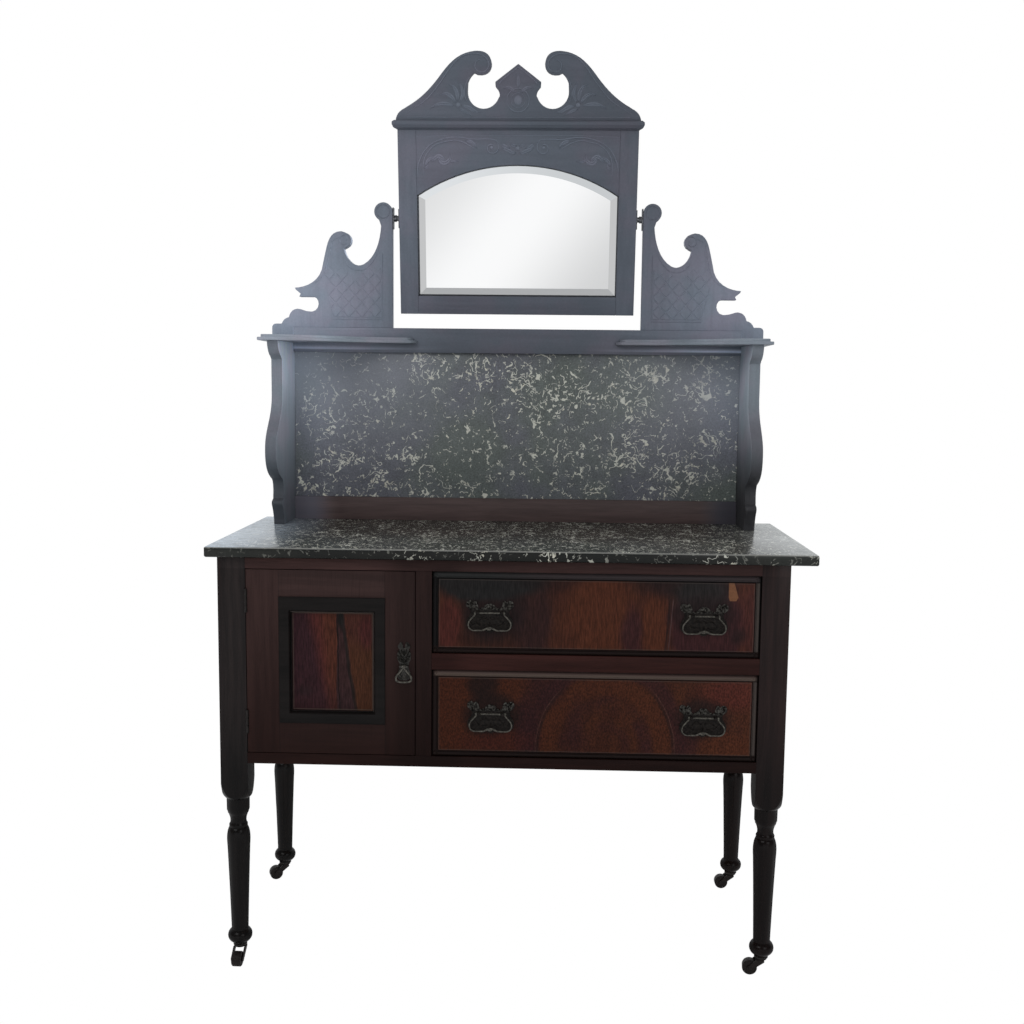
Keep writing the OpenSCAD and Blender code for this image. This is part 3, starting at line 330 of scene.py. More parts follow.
class Value:
    """An output in a graph of nodes; arithmetic on it adds nodes."""

    def __init__(self, g, out):
        self.g, self.out = g, out

    __add__, __radd__ = op("ADD"), op("ADD", True)
    __sub__, __rsub__ = op("SUBTRACT"), op("SUBTRACT", True)
    __mul__, __rmul__ = op("MULTIPLY"), op("MULTIPLY", True)
    __pow__, __abs__ = op("POWER"), op("ABSOLUTE")

    def step(self, lo, hi, smooth=True):
        """0 up to lo and 1 from hi on; or the other way round where lo is the larger."""
        n = self.g.new("MapRange", interpolation_type="SMOOTHSTEP" if smooth else "LINEAR")
        return self.g.fill(n, self, lo, hi)

    def band(self, mid, half, soft):
        """1 within half of mid, falling to 0 over soft."""
        return abs(self - mid).step(half + soft, half)


class Graph:
    """Short names for building the nodes of a material, or of the world."""

    def __init__(self, name, owner=None):
        self.owner = owner or bpy.data.materials.new(name)
        self.owner.use_nodes = True
        self.nodes, self.links = self.owner.node_tree.nodes, self.owner.node_tree.links
        place = self.new("TexCoord").outputs
        self.pos, self.normal, self.dir = place["Object"], place["Normal"], place["Generated"]
        self.x, self.y, self.z = self.xyz(self.pos)
        self.nx, self.ny, self.nz = self.xyz(self.normal)
        self.dull = 0.0          # added to the roughness of a wood

    def new(self, kind, **props):
        n = self.nodes.new("ShaderNode" + kind)
        for k, v in props.items():
            setattr(n, k, v)
        return n

    def put(self, sock, val):
        val = getattr(val, "out", val)
        if hasattr(val, "links"):
            self.links.new(val, sock)
        else:
            sock.default_value = (*val, 1) if sock.type == "RGBA" else val

    def fill(self, n, *vals):
        """Sets a node's first inputs and gives its first output."""
        for s, v in zip(n.inputs, vals):
            self.put(s, v)
        return Value(self, n.outputs[0])

    def named(self, n, **vals):
        for k, v in vals.items():
            self.put(n.inputs[k.replace("_", " ")], v)

    def math(self, kind, *vals, clamp=False):
        return self.fill(self.new("Math", operation=kind, use_clamp=clamp), *vals)

    def least(self, a, *more):
        for b in more:
            a = self.math("MINIMUM", a, b)
        return a

    def most(self, a, b, clamp=False):
        return self.math("MAXIMUM", a, b, clamp=clamp)

    def vec(self, kind, a, b):
        return self.fill(self.new("VectorMath", operation=kind), a, b)

    def xyz(self, v):
        n = self.new("SeparateXYZ")
        self.fill(n, v)
        return [Value(self, o) for o in n.outputs]

    def mix(self, f, a, b, how="MIX"):
        n = self.new("Mix", data_type="RGBA", blend_type=how)
        colours = [s for s in n.inputs if s.type == "RGBA"]
        for s, v in zip([n.inputs[0], *colours], (f, a, b)):
            self.put(s, v)
        return Value(self, [o for o in n.outputs if o.type == "RGBA"][0])

    def tint(self, a, b):
        return self.mix(1.0, a, b, "MULTIPLY")

    def over(self, c, *layers):
        """A colour with layers laid over it one by one: how much of each, and its tone."""
        for f, tone in layers:
            c = self.mix(f, c, tone)
        return c

    def noise(self, v, scale, detail=3.0, rough=0.5, colour=False):
        n = self.new("TexNoise")
        self.fill(n, v, 0, scale, detail, rough)
        return Value(self, n.outputs[1 if colour else 0])

    def bump(self, h, strength, dist):
        n = self.new("Bump")
        self.named(n, Strength=strength, Distance=dist, Height=h)
        self.put(self.nodes["Principled BSDF"].inputs["Normal"], n.outputs[0])

    def finish(self, colour, rough, spec, metal=0.0):
        self.named(self.nodes["Principled BSDF"], Base_Color=colour, Roughness=rough,
                   Specular_IOR_Level=spec, Metallic=metal)
        return self.owner

    def surface(self, f, a, b):
        """One surface where f is 0 and the other where it is 1."""
        return self.fill(self.new("MixShader"), f, a, b)


# How far noise is drawn out along the fibres of a board
STRETCH = {"x": (0.05, 1, 1), "y": (1, 0.05, 1), "z": (1, 1, 0.05)}


def grain(g, axis, shift):
    """Fibre pattern along an axis: streaks, broad bands and fine pores, each 0 to 1."""
    r = Value(g, g.new("ObjectInfo").outputs["Random"])
    p = g.vec("ADD", g.pos, g.fill(g.new("CombineXYZ"), *[r * k + shift for k in (7.3, 4.1, 5.7)]))
    wave = g.vec("MULTIPLY", g.noise(g.pos, 3, 2, 0.5, True), (0.02, 0.02, 0.02))
    q = g.vec("MULTIPLY", g.vec("ADD", p, wave), STRETCH[axis])
    fine = g.vec("MULTIPLY", q, [1 if k == 1 else 0.4 for k in STRETCH[axis]])
    return g.noise(q, 95, 5, 0.62), g.noise(q, 22), g.noise(fine, 900, 2)


def timber(g, axis, shift, dark, light):
    """Streaked colour between two tones, the pattern it follows, and the grain."""
    streak, broad, fine = grain(g, axis, shift)
    f = streak * 0.6 + broad * 0.4
    return g.mix(f.step(0.36, 0.64), dark, light), f, streak, broad, fine


def wood(name, axis, dark, light, rough=0.42, spec=0.07, shift=0.0, mottle=0.0, painted_light_and_tone=None):
    g = Graph(name)
    c, f, streak, broad, fine = timber(g, axis, shift, dark, light)
    c = g.mix(fine.step(0.5, 0.72) * 0.35, c, [k * 0.45 for k in dark])
    if mottle:
        c = g.mix(g.noise(g.pos, 14, 4, 0.6).step(0.4, 0.7) * mottle, c, [k * 0.55 for k in dark])
    # painted light and shade, with some tone, laid over the wood's own colour
    if painted_light_and_tone:
        c = painted_light_and_tone(g, c, f)
    g.bump(streak * 0.5 + fine, 0.1, 0.0006)
    return g.finish(c, rough - 0.06 + broad * 0.12 + g.dull, spec)


def painted_sheen(low=0.78, high=1.05, least=0.0, boost=1.0, flat=False, blue=1.22, within=1.3, end=0.0,
          under=0.0):
    """Painted bluish veil and sheen of light on the gallery's old polish, strongest about the ends
    of its shelf.
    """
    def f(g, c, pattern):
        face = g.ny.step(0.8, 0.1)
        if not flat:
            face *= 1 - g.nz.step(0.5, 0.9) * 0.3
        rise = g.z.step(low, high) * (1 - least) + least
        ends, left = abs(g.x).step(0.12, 0.5), g.x.step(0.35, -0.35)
        b = ends * abs(g.z - 1.16).step(0.36, 0.05) * (0.135 + left * 0.085)
        b += 0.096 + left * g.z.step(1.22, 1.42) * 0.042
        b *= 1 - g.z.step(1.53, 1.6) * 0.15
        m = g.noise(g.pos, 11, 4, 0.55)
        b *= (0.9 + m * 0.2) * (0.88 + g.noise(g.pos, 280, 3, 0.6) * 0.28)
        b *= 1.06 - pattern.step(0.38, 0.64) * 0.12
        # painted light: the faces of the wings that look at each other are made lighter, as they
        # catch the light from behind
        inner = (g.nx * g.x * -1.0).step(0.2, 0.4)
        b *= boost + inner * (within + left * g.z.step(0.98, 1.13) * 1.15)
        if end:
            b *= 1 + ends * end
        if under:
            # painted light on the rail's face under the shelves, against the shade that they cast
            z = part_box("splash_top_rail")[0][2]
            shelf = (abs(g.x).step(0.12, 0.46) * g.z.step(1.143, 1.133)
                     * g.z.step(z + 0.004, z + 0.008))
            b *= 1 + shelf * (4.0 - left * 2.2) * under
        tone = g.mix(m.step(0.4, 0.64), (0.86, 0.99, blue), (0.95, 0.97, blue))
        return g.mix(face * rise, c, g.tint(tone, b))
    return f


def shade(low, high, dim, lit):
    """Painted light and shade: wood darker and redder towards the floor."""
    def f(g, c, pattern=None):
        t = g.mix(g.z.step(low, high, False), dim, lit)
        # painted light, lighter towards the left
        side = 0.84 + g.x.step(0.3, -0.46, False) * 0.34
        side *= 1 - g.x.band(-0.145, 0.03, 0.06) * 0.4
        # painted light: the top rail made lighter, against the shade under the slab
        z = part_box("top_rail")[0][2]
        side *= 1 + g.z.step(z - 0.0005, z + 0.0005) * 0.32
        return g.tint(c, g.tint(t, side))
    return f


def bead(g, c, pattern):
    """Painted highlight of the fine bead inside the door's black moulding, at its top and right."""
    lo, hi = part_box("door_panel")
    x, z = hi[0] - 0.0205, hi[2] - 0.0275
    inside = g.x.step(lo[0] + 0.019, lo[0] + 0.021) * g.z.step(lo[2] + 0.019, lo[2] + 0.021)
    inside *= g.x.step(x + 0.0015, x + 0.001) * g.z.step(z + 0.0015, z + 0.001)
    line = g.most(g.x.band(x, 0.0006, 0.0006), g.z.band(z, 0.0006, 0.0006))
    return g.mix(line * inside * 0.7, c, (0.085, 0.072, 0.066))


def post_shade_and_tone(g, c, pattern):
    """Painted shade, darker on the legs than on the blocks; redder to the right; dull on faces that
    look sideways.
    """
    g.dull = abs(g.nx).step(0.55, 0.95) * 0.5
    return g.tint(shade(0.36, 0.5, (1, 1, 1), (2.4, 2.1, 2.1))(g, c),
                  g.mix(g.x.step(0.15, 0.42), (1, 1, 1), (1.42, 1.04, 1.02)))


def rail_ends_painted_light(g, c, pattern):
    """The gallery's lower rail, greyer towards its ends with painted shadow and reflection of the
    wings.
    """
    c = g.mix(abs(g.x).step(0.37, 0.43) * 0.85, c, (0.042, 0.043, 0.054))
    # painted light at the ends, most at the left, against the wings' shade
    return g.tint(c, 1 + g.x.step(-0.365, -0.44) * 2.2 + g.x.step(0.36, 0.43) * 0.5)


CASE_SHADE = shade(0.38, 0.74, (0.5, 0.4, 0.36), (1.38, 1.62, 1.7))
CASE = (0.017, 0.0076, 0.0068), (0.029, 0.0128, 0.0112)
TOP = (0.03, 0.022, 0.024), (0.05, 0.036, 0.038)
WOOD_X = wood("wood_x", "x", *CASE, painted_light_and_tone=CASE_SHADE)
WOOD_Z = wood("wood_z", "z", *CASE, painted_light_and_tone=CASE_SHADE)
RAIL_MID = wood("rail_mid", "x", (0.0215, 0.0068, 0.0056), (0.036, 0.0112, 0.0092), painted_light_and_tone=CASE_SHADE)
WOOD_Y = wood("wood_y", "y", *CASE, mottle=0.5, painted_light_and_tone=CASE_SHADE)
POST = wood("post_wood", "z", (0.0032, 0.0028, 0.0028), (0.0068, 0.0056, 0.0054), 0.22, 0.12, 0.7,
            painted_light_and_tone=post_shade_and_tone)
BLACK = wood("black_wood_across", "x", (0.004, 0.0034, 0.0033), (0.0082, 0.0066, 0.0063), 0.4, 0.1,
             1.9, painted_light_and_tone=bead)
# painted veil and sheen on the gallery's woods; the carving's copy is boosted lighter, as painted
# light
TOP_X = wood("top_x", "x", *TOP, 0.5, 0.1, 3.1, painted_light_and_tone=painted_sheen())
TOP_Z = wood("top_z", "z", *TOP, 0.5, 0.12, 4.3, painted_light_and_tone=painted_sheen())
CARVED = wood("carved", "x", *TOP, 0.5, 0.1, 2.4, painted_light_and_tone=painted_sheen(boost=1.45, flat=True))
# lit and dim copies of one wood: the left wing's is lighter, as painted light, and both carry the
# painted sheen
WING_LEFT_LIT = wood("wing_left", "z", (0.038, 0.036, 0.041), (0.056, 0.053, 0.06), 0.5, 0.1, 5.1,
                 painted_light_and_tone=painted_sheen(0.52, 0.96, boost=0.7, blue=1.15, within=1.05))
WING_RIGHT_DIM = wood("wing_right", "z", (0.034, 0.034, 0.037), (0.05, 0.049, 0.053), 0.5, 0.1, 5.9,
                  painted_light_and_tone=painted_sheen(0.82, 1.06, boost=0.92, blue=1.13))
# painted light: the shelves lighter, less towards their ends
SHELF = wood("shelf_wood", "x", *TOP, 0.45, 0.14, 1.1,
             painted_light_and_tone=painted_sheen(boost=1.42, flat=True, blue=1.15, end=-0.25))
RAIL_LOW = wood("rail_low", "x", (0.052, 0.037, 0.036), (0.078, 0.054, 0.052), 0.4, 0.12, 5.3,
                painted_light_and_tone=rail_ends_painted_light)
RAIL_TOP = wood("rail_top", "x", (0.03, 0.024, 0.027), (0.05, 0.04, 0.044), 0.45, 0.12, 6.3,
                painted_light_and_tone=painted_sheen(1.05, 1.2, 0.6, under=0.88))
PALE_X = wood("pale_x", "x", (0.15, 0.095, 0.055), (0.27, 0.18, 0.11), 0.65, 0.2, 7.7, 0.4)
PALE_Z = wood("pale_z", "z", (0.13, 0.085, 0.05), (0.24, 0.16, 0.1), 0.65, 0.2, 8.7, 0.5)
PALE_Y = wood("pale_y", "y", (0.16, 0.1, 0.06), (0.29, 0.19, 0.12), 0.65, 0.2, 9.7, 0.4)

# Veneer tones
ORANGE, BROWN, PURPLE = (0.068, 0.0215, 0.0095), (0.042, 0.014, 0.0082), (0.031, 0.011, 0.0125)
RED, DARK, GREY = (0.07, 0.018, 0.013), (0.013, 0.008, 0.0078), (0.015, 0.015, 0.014)


def door_wood():
    """Upright stiles with level rails between them, and the dark lines where they meet."""
    g = Graph("door_wood")
    level = timber(g, "x", 2.2, (0.02, 0.0098, 0.0088), (0.029, 0.014, 0.0124))[0]
    upright, f, streak, broad, fine = timber(g, "z", 3.3, (0.019, 0.0088, 0.0079),
                                             (0.028, 0.013, 0.0114))
    lo, hi = (DOOR_X0 + STILE_LEFT) * MM, (DOOR_X1 - STILE_RIGHT) * MM
    c = CASE_SHADE(g, g.mix(g.x.band((lo + hi) / 2, (hi - lo) / 2, 0.0002), upright, level))
    line = g.x.band(lo, 0.0002, 0.0005) + g.x.band(hi, 0.0002, 0.0005)
    c = g.over(c, (line * 0.7, (0.006, 0.004, 0.004)),
               (fine.step(0.5, 0.72) * 0.3, (0.008, 0.004, 0.0035)))
    g.bump(streak * 0.5 + fine, 0.08, 0.0005)
    return g.finish(c, 0.42, 0.07)


def apart(u, v, cx, cz, rx, rz):
    """How far a place is from an ellipse's middle: 1 at its edge."""
    a, b = (u - cx) * (1 / rx), (v - cz) * (1 / rz)
    return (a * a + b * b) ** 0.5


def blob(u, v, cx, cz, rx, rz, soft=0.45):
    """1 inside an ellipse, fading out over its edge."""
    return apart(u, v, cx, cz, rx, rz).step(1 + soft, 1 - soft)


def figure(g, drift, size):
    """Place across and up, in metres, pushed about a little so that no edge runs straight."""
    n = g.xyz(g.noise(g.pos, size, 4, 0.6, True))
    return g.x + (n[0] - 0.5) * drift, g.z + (n[2] - 0.5) * drift


def fibre(g, c, long_, amount):
    """Fine pores and streaks along the leaf of a veneer."""
    a = g.noise(g.vec("MULTIPLY", g.pos, (1, 1, long_)), 380, 4, 0.65)
    b = g.noise(g.vec("MULTIPLY", g.pos, (1, 1, long_ * 0.6)), 900, 2, 0.6)
    g.bump(a, 0.05, 0.0004)
    c = g.tint(c, a.step(0.3, 0.7) * amount + (1 - amount * 0.5))
    return g.tint(c, b.step(0.3, 0.7) * 0.36 + 0.82)


def plain_back(g, c):
    """The unseen side of a veneered board is plain wood."""
    streak, broad, fine = grain(g, "z", 6.1)
    plain = g.mix(streak.step(0.36, 0.64), (0.04, 0.021, 0.014), (0.07, 0.038, 0.025))
    plain = g.mix(fine.step(0.5, 0.72) * 0.4, plain, (0.018, 0.01, 0.007))
    return g.mix(g.ny.step(0.3, 0.7), c, plain)


def panel_veneer():
    """Door panel: a dark plume with streaks in its middle, orange beside it, purple to the left."""
    g = Graph("panel_veneer")
    lo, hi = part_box("door_panel")
    x0, x1, z0, z1 = lo[0] + 0.022, hi[0] - 0.022, lo[2] + 0.022, hi[2] - 0.0285
    u, v = figure(g, 0.01, 16)
    u, v = (u - x0) * (1 / (x1 - x0)), (v - z0) * (1 / (z1 - z0))
    down = 1 - v
    slant = u - down * 0.14
    right = g.mix(v.step(0.55, 0.85), (0.06, 0.0215, 0.009), (0.056, 0.018, 0.011))
    c = g.over(
        g.mix((u - down * 0.24).step(0.12, 0.3), PURPLE, RED),
        ((u - down * 0.1).step(0.28, 0.44) * 0.75, ORANGE),
        (down.step(0.55, 1.0) * 0.55, (0.034, 0.012, 0.012)),
        # the streaked part between the dark line and the dark band
        (u.step(0.545, 0.555) * slant.step(0.66, 0.61) * 0.85, (0.03, 0.015, 0.0145)),
        (slant.step(0.62, 0.68), right),
        (blob(u, v, 0.93, 0.8, 0.1, 0.16) * 0.7, (0.056, 0.013, 0.012)),
        ((u - down * 0.03).band(0.553, 0.004, 0.008) * 0.8, (0.0085, 0.005, 0.0045)),
        (blob(u, v, 0.6, 0.93, 0.035, 0.09) * 0.85, (0.007, 0.0075, 0.0065)),
        ((u - down * 0.18).band(0.605, 0.01, 0.022) * 0.75, (0.011, 0.01, 0.008)),
        (blob(u, v, 0.16, 0.2, 0.1, 0.05, 0.7) * 0.5, DARK))
    c = g.tint(fibre(g, c, 0.12, 0.8), (0.75, 0.74, 0.86))
    # painted highlight: a thin light line round the panel's edge
    rim = g.least(g.x - x0, x1 - g.x, g.z - z0, z1 - g.z)
    c = g.mix(rim.band(0.0017, 0.0006, 0.0007) * 0.55, c, (0.075, 0.058, 0.048))
    return g.finish(plain_back(g, c), 0.38, 0.08)


# Patches of figure, in millimetres: across, up, half width, half height, softness, amount, tone
UPPER_FIGURE = [
    (160, 660, 60, 90, 0.4, 0.9, ORANGE), (217, 630, 18, 50, 0.5, 0.8, PURPLE),
    (257, 650, 23, 60, 0.25, 0.85, ORANGE), (345, 650, 62, 90, 0.15, 0.85, PURPLE),
    (300, 728, 85, 28, 0.45, 0.85, DARK), (338, 705, 48, 34, 0.5, 0.85, GREY),
    (424, 660, 30, 60, 0.5, 0.55, (0.052, 0.0175, 0.0165)),
    (42, 665, 34, 90, 0.4, 0.75, (0.0215, 0.0105, 0.0105)),
    (-30, 668, 58, 60, 0.4, 0.92, DARK), (-40, 735, 110, 46, 0.18, 0.95, GREY),
    (-106, 645, 22, 46, 0.35, 0.92, RED), (343, 668, 56, 32, 0.4, 0.75, DARK),
    (400, 632, 16, 14, 0.6, 0.7, DARK), (75, 725, 50, 16, 0.6, 0.5, DARK),
]
LOWER_FIGURE = [
    (-96, 490, 36, 90, 0.4, 0.9, ORANGE), (10, 530, 34, 32, 0.5, 0.7, ORANGE),
    (62, 535, 32, 36, 0.5, 0.7, PURPLE), (34, 455, 22, 62, 0.4, 0.9, PURPLE),
    (120, 465, 16, 50, 0.6, 0.6, PURPLE), (-46, 535, 26, 26, 0.5, 0.8, DARK),
    (-20, 435, 60, 18, 0.6, 0.5, RED), (395, 530, 58, 28, 0.5, 0.8, RED),
    (390, 430, 55, 24, 0.5, 0.6, ORANGE), (320, 450, 20, 40, 0.5, 0.75, PURPLE),
    (-30, 484, 50, 36, 0.3, 0.8, DARK), (344, 484, 48, 36, 0.35, 0.8, DARK),
]


def drawer_veneer(name, lower):
    """Drawer front: patches of flame figure, darkened round the handles, in a black border."""
    g = Graph(name)
    u, v = figure(g, 0.03, 14)
    n = g.noise(g.vec("MULTIPLY", g.pos, (1, 1, 0.35)), 46, 4, 0.6)
    c = g.mix(n.step(0.38, 0.64), BROWN, (0.056, 0.019, 0.0095))
    if lower:
        # rings that run on from the figure below the drawer's front
        s = apart(g.x, g.z, 0.173, 0.425, 0.123, 0.141) + (g.noise(g.pos, 12, 2) - 0.5) * 0.05
        worn = g.noise(g.pos, 16).step(0.36, 0.62)
        c = g.over(c, (s.band(0.58, 0.03, 0.12) * worn * 0.75, PURPLE),
                   (s.band(0.3, 0.02, 0.08) * worn * 0.35, PURPLE),
                   (s.band(0.82, 0.07, 0.1) * 0.55, ORANGE),
                   (s.band(1.08, 0.05, 0.1) * 0.75, PURPLE))
    for *place, soft, amount, tone in LOWER_FIGURE if lower else UPPER_FIGURE:
        c = g.mix(blob(u, v, *[k * MM for k in place], soft) * amount, c, tone)
    if lower:
        on = g.z.step(0.545, 0.508)
        c = g.over(c, (s.band(0.97, 0.008, 0.014) * on * 0.45, DARK),
                   (s.band(1.0, 0.002, 0.006) * on * 0.34, (0.115, 0.072, 0.06)))
    else:
        x = g.x - (g.z - 0.605) * 0.076
        on = g.z.step(0.7, 0.692)
        c = g.over(c, (x.band(0.2755, 0.0012, 0.0016) * on * 0.6, DARK),
                   (x.band(0.2805, 0.0005, 0.0008) * on * 0.35, (0.1, 0.07, 0.065)))
    c = fibre(g, c, *(0.55, 0.95) if lower else (0.12, 0.7))
    c = g.tint(c, g.mix(g.x.step(-0.12, 0.44, False),
                        *((0.52, 0.42, 0.4), (0.84, 0.76, 0.74)) if lower
                        else ((0.66, 0.64, 0.7), (0.88, 0.8, 0.86))))
    if not lower:
        # a flake of veneer is missing beside the top edge
        z = g.z - 0.701
        below = g.most(z * -1.0, 0)
        right = 0.4003 - g.x - (g.most(z, 0) * 0.29 + below * 0.6)
        flake = g.least(g.x - (0.3827 + below * 0.35), right, g.z - 0.6945)
        c = g.mix(flake.step(0, 0.0006), c,
                  g.mix(g.noise(g.pos, 300, 2), (0.095, 0.04, 0.02), (0.17, 0.075, 0.038)))
    # the black moulded border, lighter along its top as painted light, with painted highlight lines
    # just inside it and along its right side
    lo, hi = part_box("drawer_lower_front" if lower else "drawer_upper_front")
    right, top, foot = hi[0] - g.x, hi[2] - g.z, g.z - lo[2]
    side = g.least(g.x - lo[0], right)
    d = g.least(side, foot, top)
    if lower:
        edge = (0.008, 0.0043, 0.0038)
        top_edge_light = g.mix(top.step(0.0005, 0.0075), (0.034, 0.021, 0.019), (0.082, 0.06, 0.05))
    else:
        edge = g.mix(foot.step(0.01, 0.016), (0.008, 0.0043, 0.0038), (0.0042, 0.0036, 0.0038))
        top_edge_light = g.mix(g.x.step(-0.05, 0.09), (0.0185, 0.019, 0.019), (0.029, 0.023, 0.024))
    edge = g.mix(top.step(0.0105, 0.0085) * side.step(0.001, 0.008), edge, top_edge_light)
    lit = right.band(0.0058, 0.0024, 0.0014) * g.least(top, foot).step(0.01, 0.013)
    c = g.over(c, (d.band(0.0124, 0.0004, 0.0006) * 0.35, (0.06, 0.048, 0.042)),
               (d.step(0.0114, 0.0109), edge), (lit * 0.85, (0.05, 0.04, 0.036)))
    return g.finish(plain_back(g, c), 0.36, 0.08)


def marble(name, ground, deep, rough, spec, spots, slab=False):
    """Dark stone with curled cream threads and crinkled flecks that crowd in some places."""
    g = Graph(name)
    pos, top = g.pos, 0
    if slab:
        # the stone is cut across its threads on the upper face, so they are shorter there
        top = g.nz.step(0.6, 0.9)
        pos = g.vec("MULTIPLY", pos, g.mix(top, (1.2, 0.6, 1), (1.75, 0.95, 1)))
    c = g.mix(g.noise(g.pos, 4.5, 3, 0.55).step(0.4, 0.62), ground, deep)
    fog = g.noise(pos, 30, 5, 0.62)
    grit = g.noise(g.pos, 330, 3, 0.65).step(0.3, 0.7)
    c = g.tint(c, (0.76 + grit * 0.48) * (0.66 + fog * 0.68))
    lots = g.noise(g.vec("ADD", pos, (0.9, 0, 0.4)), 8.5, 3, 0.6).step(0.46, 0.6)
    lots = (lots * 0.9 + 0.5) * top if slab else lots * 0.45
    for *place, amount in spots:
        one = blob(g.x, g.z, *[k * MM for k in place], 0.55) * amount
        lots = g.most(lots, one * (1 - top))
    w = g.vec("ADD", g.noise(pos, 24, 3, 0.6, True), (-0.5, -0.5, -0.5))
    q = g.vec("ADD", pos, g.vec("MULTIPLY", w, (0.045, 0.045, 0.045)))
    thread = 0.0
    for scale, width, cut, amount, move in (
            (25, 0.017, 0.606, 1.0, 0.0), (40, 0.018, 0.598, 1.0, 3.7),
            (66, 0.024, 0.58, 0.8, 7.9)):
        n = g.noise(g.vec("ADD", q, (move, move * 0.5, move)), scale, 1.5)
        broken = g.noise(g.vec("ADD", pos, (move + 1.3, 0.7, move)), scale * 1.15, 2)
        thread = g.most(thread, abs(n - 0.5).step(width, width * 0.5)
                        * (broken + lots * 0.075).step(cut, cut + 0.02) * amount)
    chips = g.noise(g.vec("ADD", q, (5, 0, 2)), 74, 3, 0.6)
    flecks = (chips + lots * 0.05).step(0.682, 0.698)
    if slab:
        # a painted highlight along the edge between top and front; painted shade on the front, less
        # towards its ends
        crowd = g.most(top, lots)
        thread, flecks = thread * (crowd * 0.8 + 0.2), flecks * (crowd * 0.6 + 0.4)
        front_shade = g.mix(abs(g.x).step(0.3, 0.52), (0.13, 0.14, 0.14), (0.34, 0.38, 0.38))
        arris_highlight = g.nz.band(0.62, 0.24, 0.1) * g.ny.step(-0.2, -0.5)
        c = g.over(c, (1 - top, g.tint(c, front_shade)), (arris_highlight * 0.4, (0.36, 0.36, 0.34)))
    tone = g.mix(g.noise(g.pos, 60).step(0.38, 0.62), (0.32, 0.32, 0.28), (0.62, 0.6, 0.5))
    c = g.over(c, (thread * 0.88, (0.54, 0.54, 0.475)), (flecks * 0.84, tone))
    if slab:
        # glare at the ends of the upper face
        glare = g.x.step(-0.36, -0.54) * 0.72 + g.x.step(0.4, 0.55) * 0.5
        smear = g.noise(g.vec("MULTIPLY", g.pos, (1, 2.2, 1)), 46, 4, 0.6).step(0.34, 0.62)
        pale = g.mix(g.x.step(-0.1, 0.1), (0.66, 0.77, 0.9), (0.66, 0.68, 0.67))
        c = g.mix(top * glare * (0.55 + smear * 0.45), c, pale)
    else:
        # painted veil of light towards the upper ends of the splash
        sides = g.x.step(-0.02, -0.46) * 0.56 + g.x.step(0.1, 0.46) * 0.46
        c = g.mix(sides * g.z.step(0.84, 1.13), c, (0.31, 0.34, 0.39))
        # painted light beside the wings, against their shade
        c = g.tint(c, 1 + g.x.step(-0.33, -0.45) * 0.8 + g.x.step(0.35, 0.45) * 0.75)
    g.bump(fog, 0.04, 0.001)
    return g.finish(c, rough, spec)


# Where cream flecks crowd, in millimetres: across, up, half width, half height, amount
SPLASH_SPOTS = [
    (-180, 1110, 35, 20, 1.3), (-198, 1084, 26, 20, 2.0), (-262, 1030, 14, 40, 1.2),
    (-78, 1090, 40, 26, 1.3), (11, 1080, 34, 34, 1.8), (28, 1028, 60, 28, 1.3),
    (250, 1078, 40, 36, 1.2), (292, 1084, 20, 16, 2.0), (372, 1068, 34, 50, 1.2),
    (252, 1015, 34, 34, 1.2), (250, 955, 30, 20, 1.3), (395, 957, 30, 20, 2.0),
    (225, 918, 44, 26, 1.4), (340, 898, 66, 44, 1.3), (318, 848, 50, 14, 1.4),
    (160, 852, 26, 14, 1.6), (-238, 912, 40, 7, 2.2), (-300, 868, 30, 18, 1.3),
    (-262, 850, 26, 10, 1.3), (-410, 846, 40, 9, 1.4), (-355, 908, 44, 16, 1.1),
    (-405, 1010, 36, 50, 0.9), (120, 1050, 70, 60, 0.8), (100, 935, 60, 50, 0.7)]
SLAB_SPOTS = [(x, 770.5, r, 16, k) for x, r, k in (
    (-165, 30, 0.7), (-45, 30, 0.7), (69, 50, 0.9), (147, 20, 0.6), (360, 36, 0.8), (458, 10, 0.6),
    (522, 24, 0.7))]
SPLASH = marble("splash_stone", (0.1, 0.104, 0.122), (0.09, 0.103, 0.098), 0.36, 0.3, SPLASH_SPOTS)
SLAB = marble("slab_stone", (0.054, 0.051, 0.045), (0.034, 0.037, 0.033), 0.22, 0.2, SLAB_SPOTS,
              True)


def metal(name, dark, light, rough, amount, spec=0.4, above=None):
    """Old metal; where above is a height, the work over it is a little brighter, as a painted
    highlight.
    """
    g = Graph(name)
    n = g.noise(g.pos, 260, 4, 0.6)
    c = g.mix(n.step(0.38, 0.66), dark, light)
    if above:
        top_highlight = g.z.step(above, above + 0.004) * n.step(0.42, 0.62)
        c = g.mix(top_highlight * 0.8, c, (0.075, 0.072, 0.064))
    g.bump(n, 0.15, 0.0003)
    return g.finish(c, rough + n * 0.15, spec, amount)


PLATE = (0.0042, 0.0031, 0.0026), (0.015, 0.0115, 0.0095), 0.5, 0.05, 0.15
PLATE_UPPER, PLATE_LOWER = metal("plate_upper", *PLATE, 0.671), metal("plate_lower", *PLATE, 0.4895)
BRASS = metal("brass", (0.038, 0.035, 0.029), (0.108, 0.1, 0.084), 0.36, 0.4)
BRASS_DARK = metal("brass_dark", (0.0085, 0.0072, 0.0062), (0.022, 0.0195, 0.0165), 0.42, 0.3)
PULL = metal("pull_brass", (0.013, 0.0122, 0.0105), (0.045, 0.042, 0.036), 0.38, 0.35)
IRON = metal("iron", (0.0062, 0.0046, 0.0042), (0.016, 0.0112, 0.01), 0.45, 0.3, 0.3)
# painted shade: the hinges darker, as their knuckles sit in the shade of the gap between post and
# door
HINGE_SHADED = metal("hinge_iron", (0.006, 0.0042, 0.0038), (0.014, 0.0095, 0.0085), 0.55, 0.2)
KNOB = metal("knob_metal", (0.075, 0.077, 0.085), (0.19, 0.195, 0.21), 0.34, 0.9)


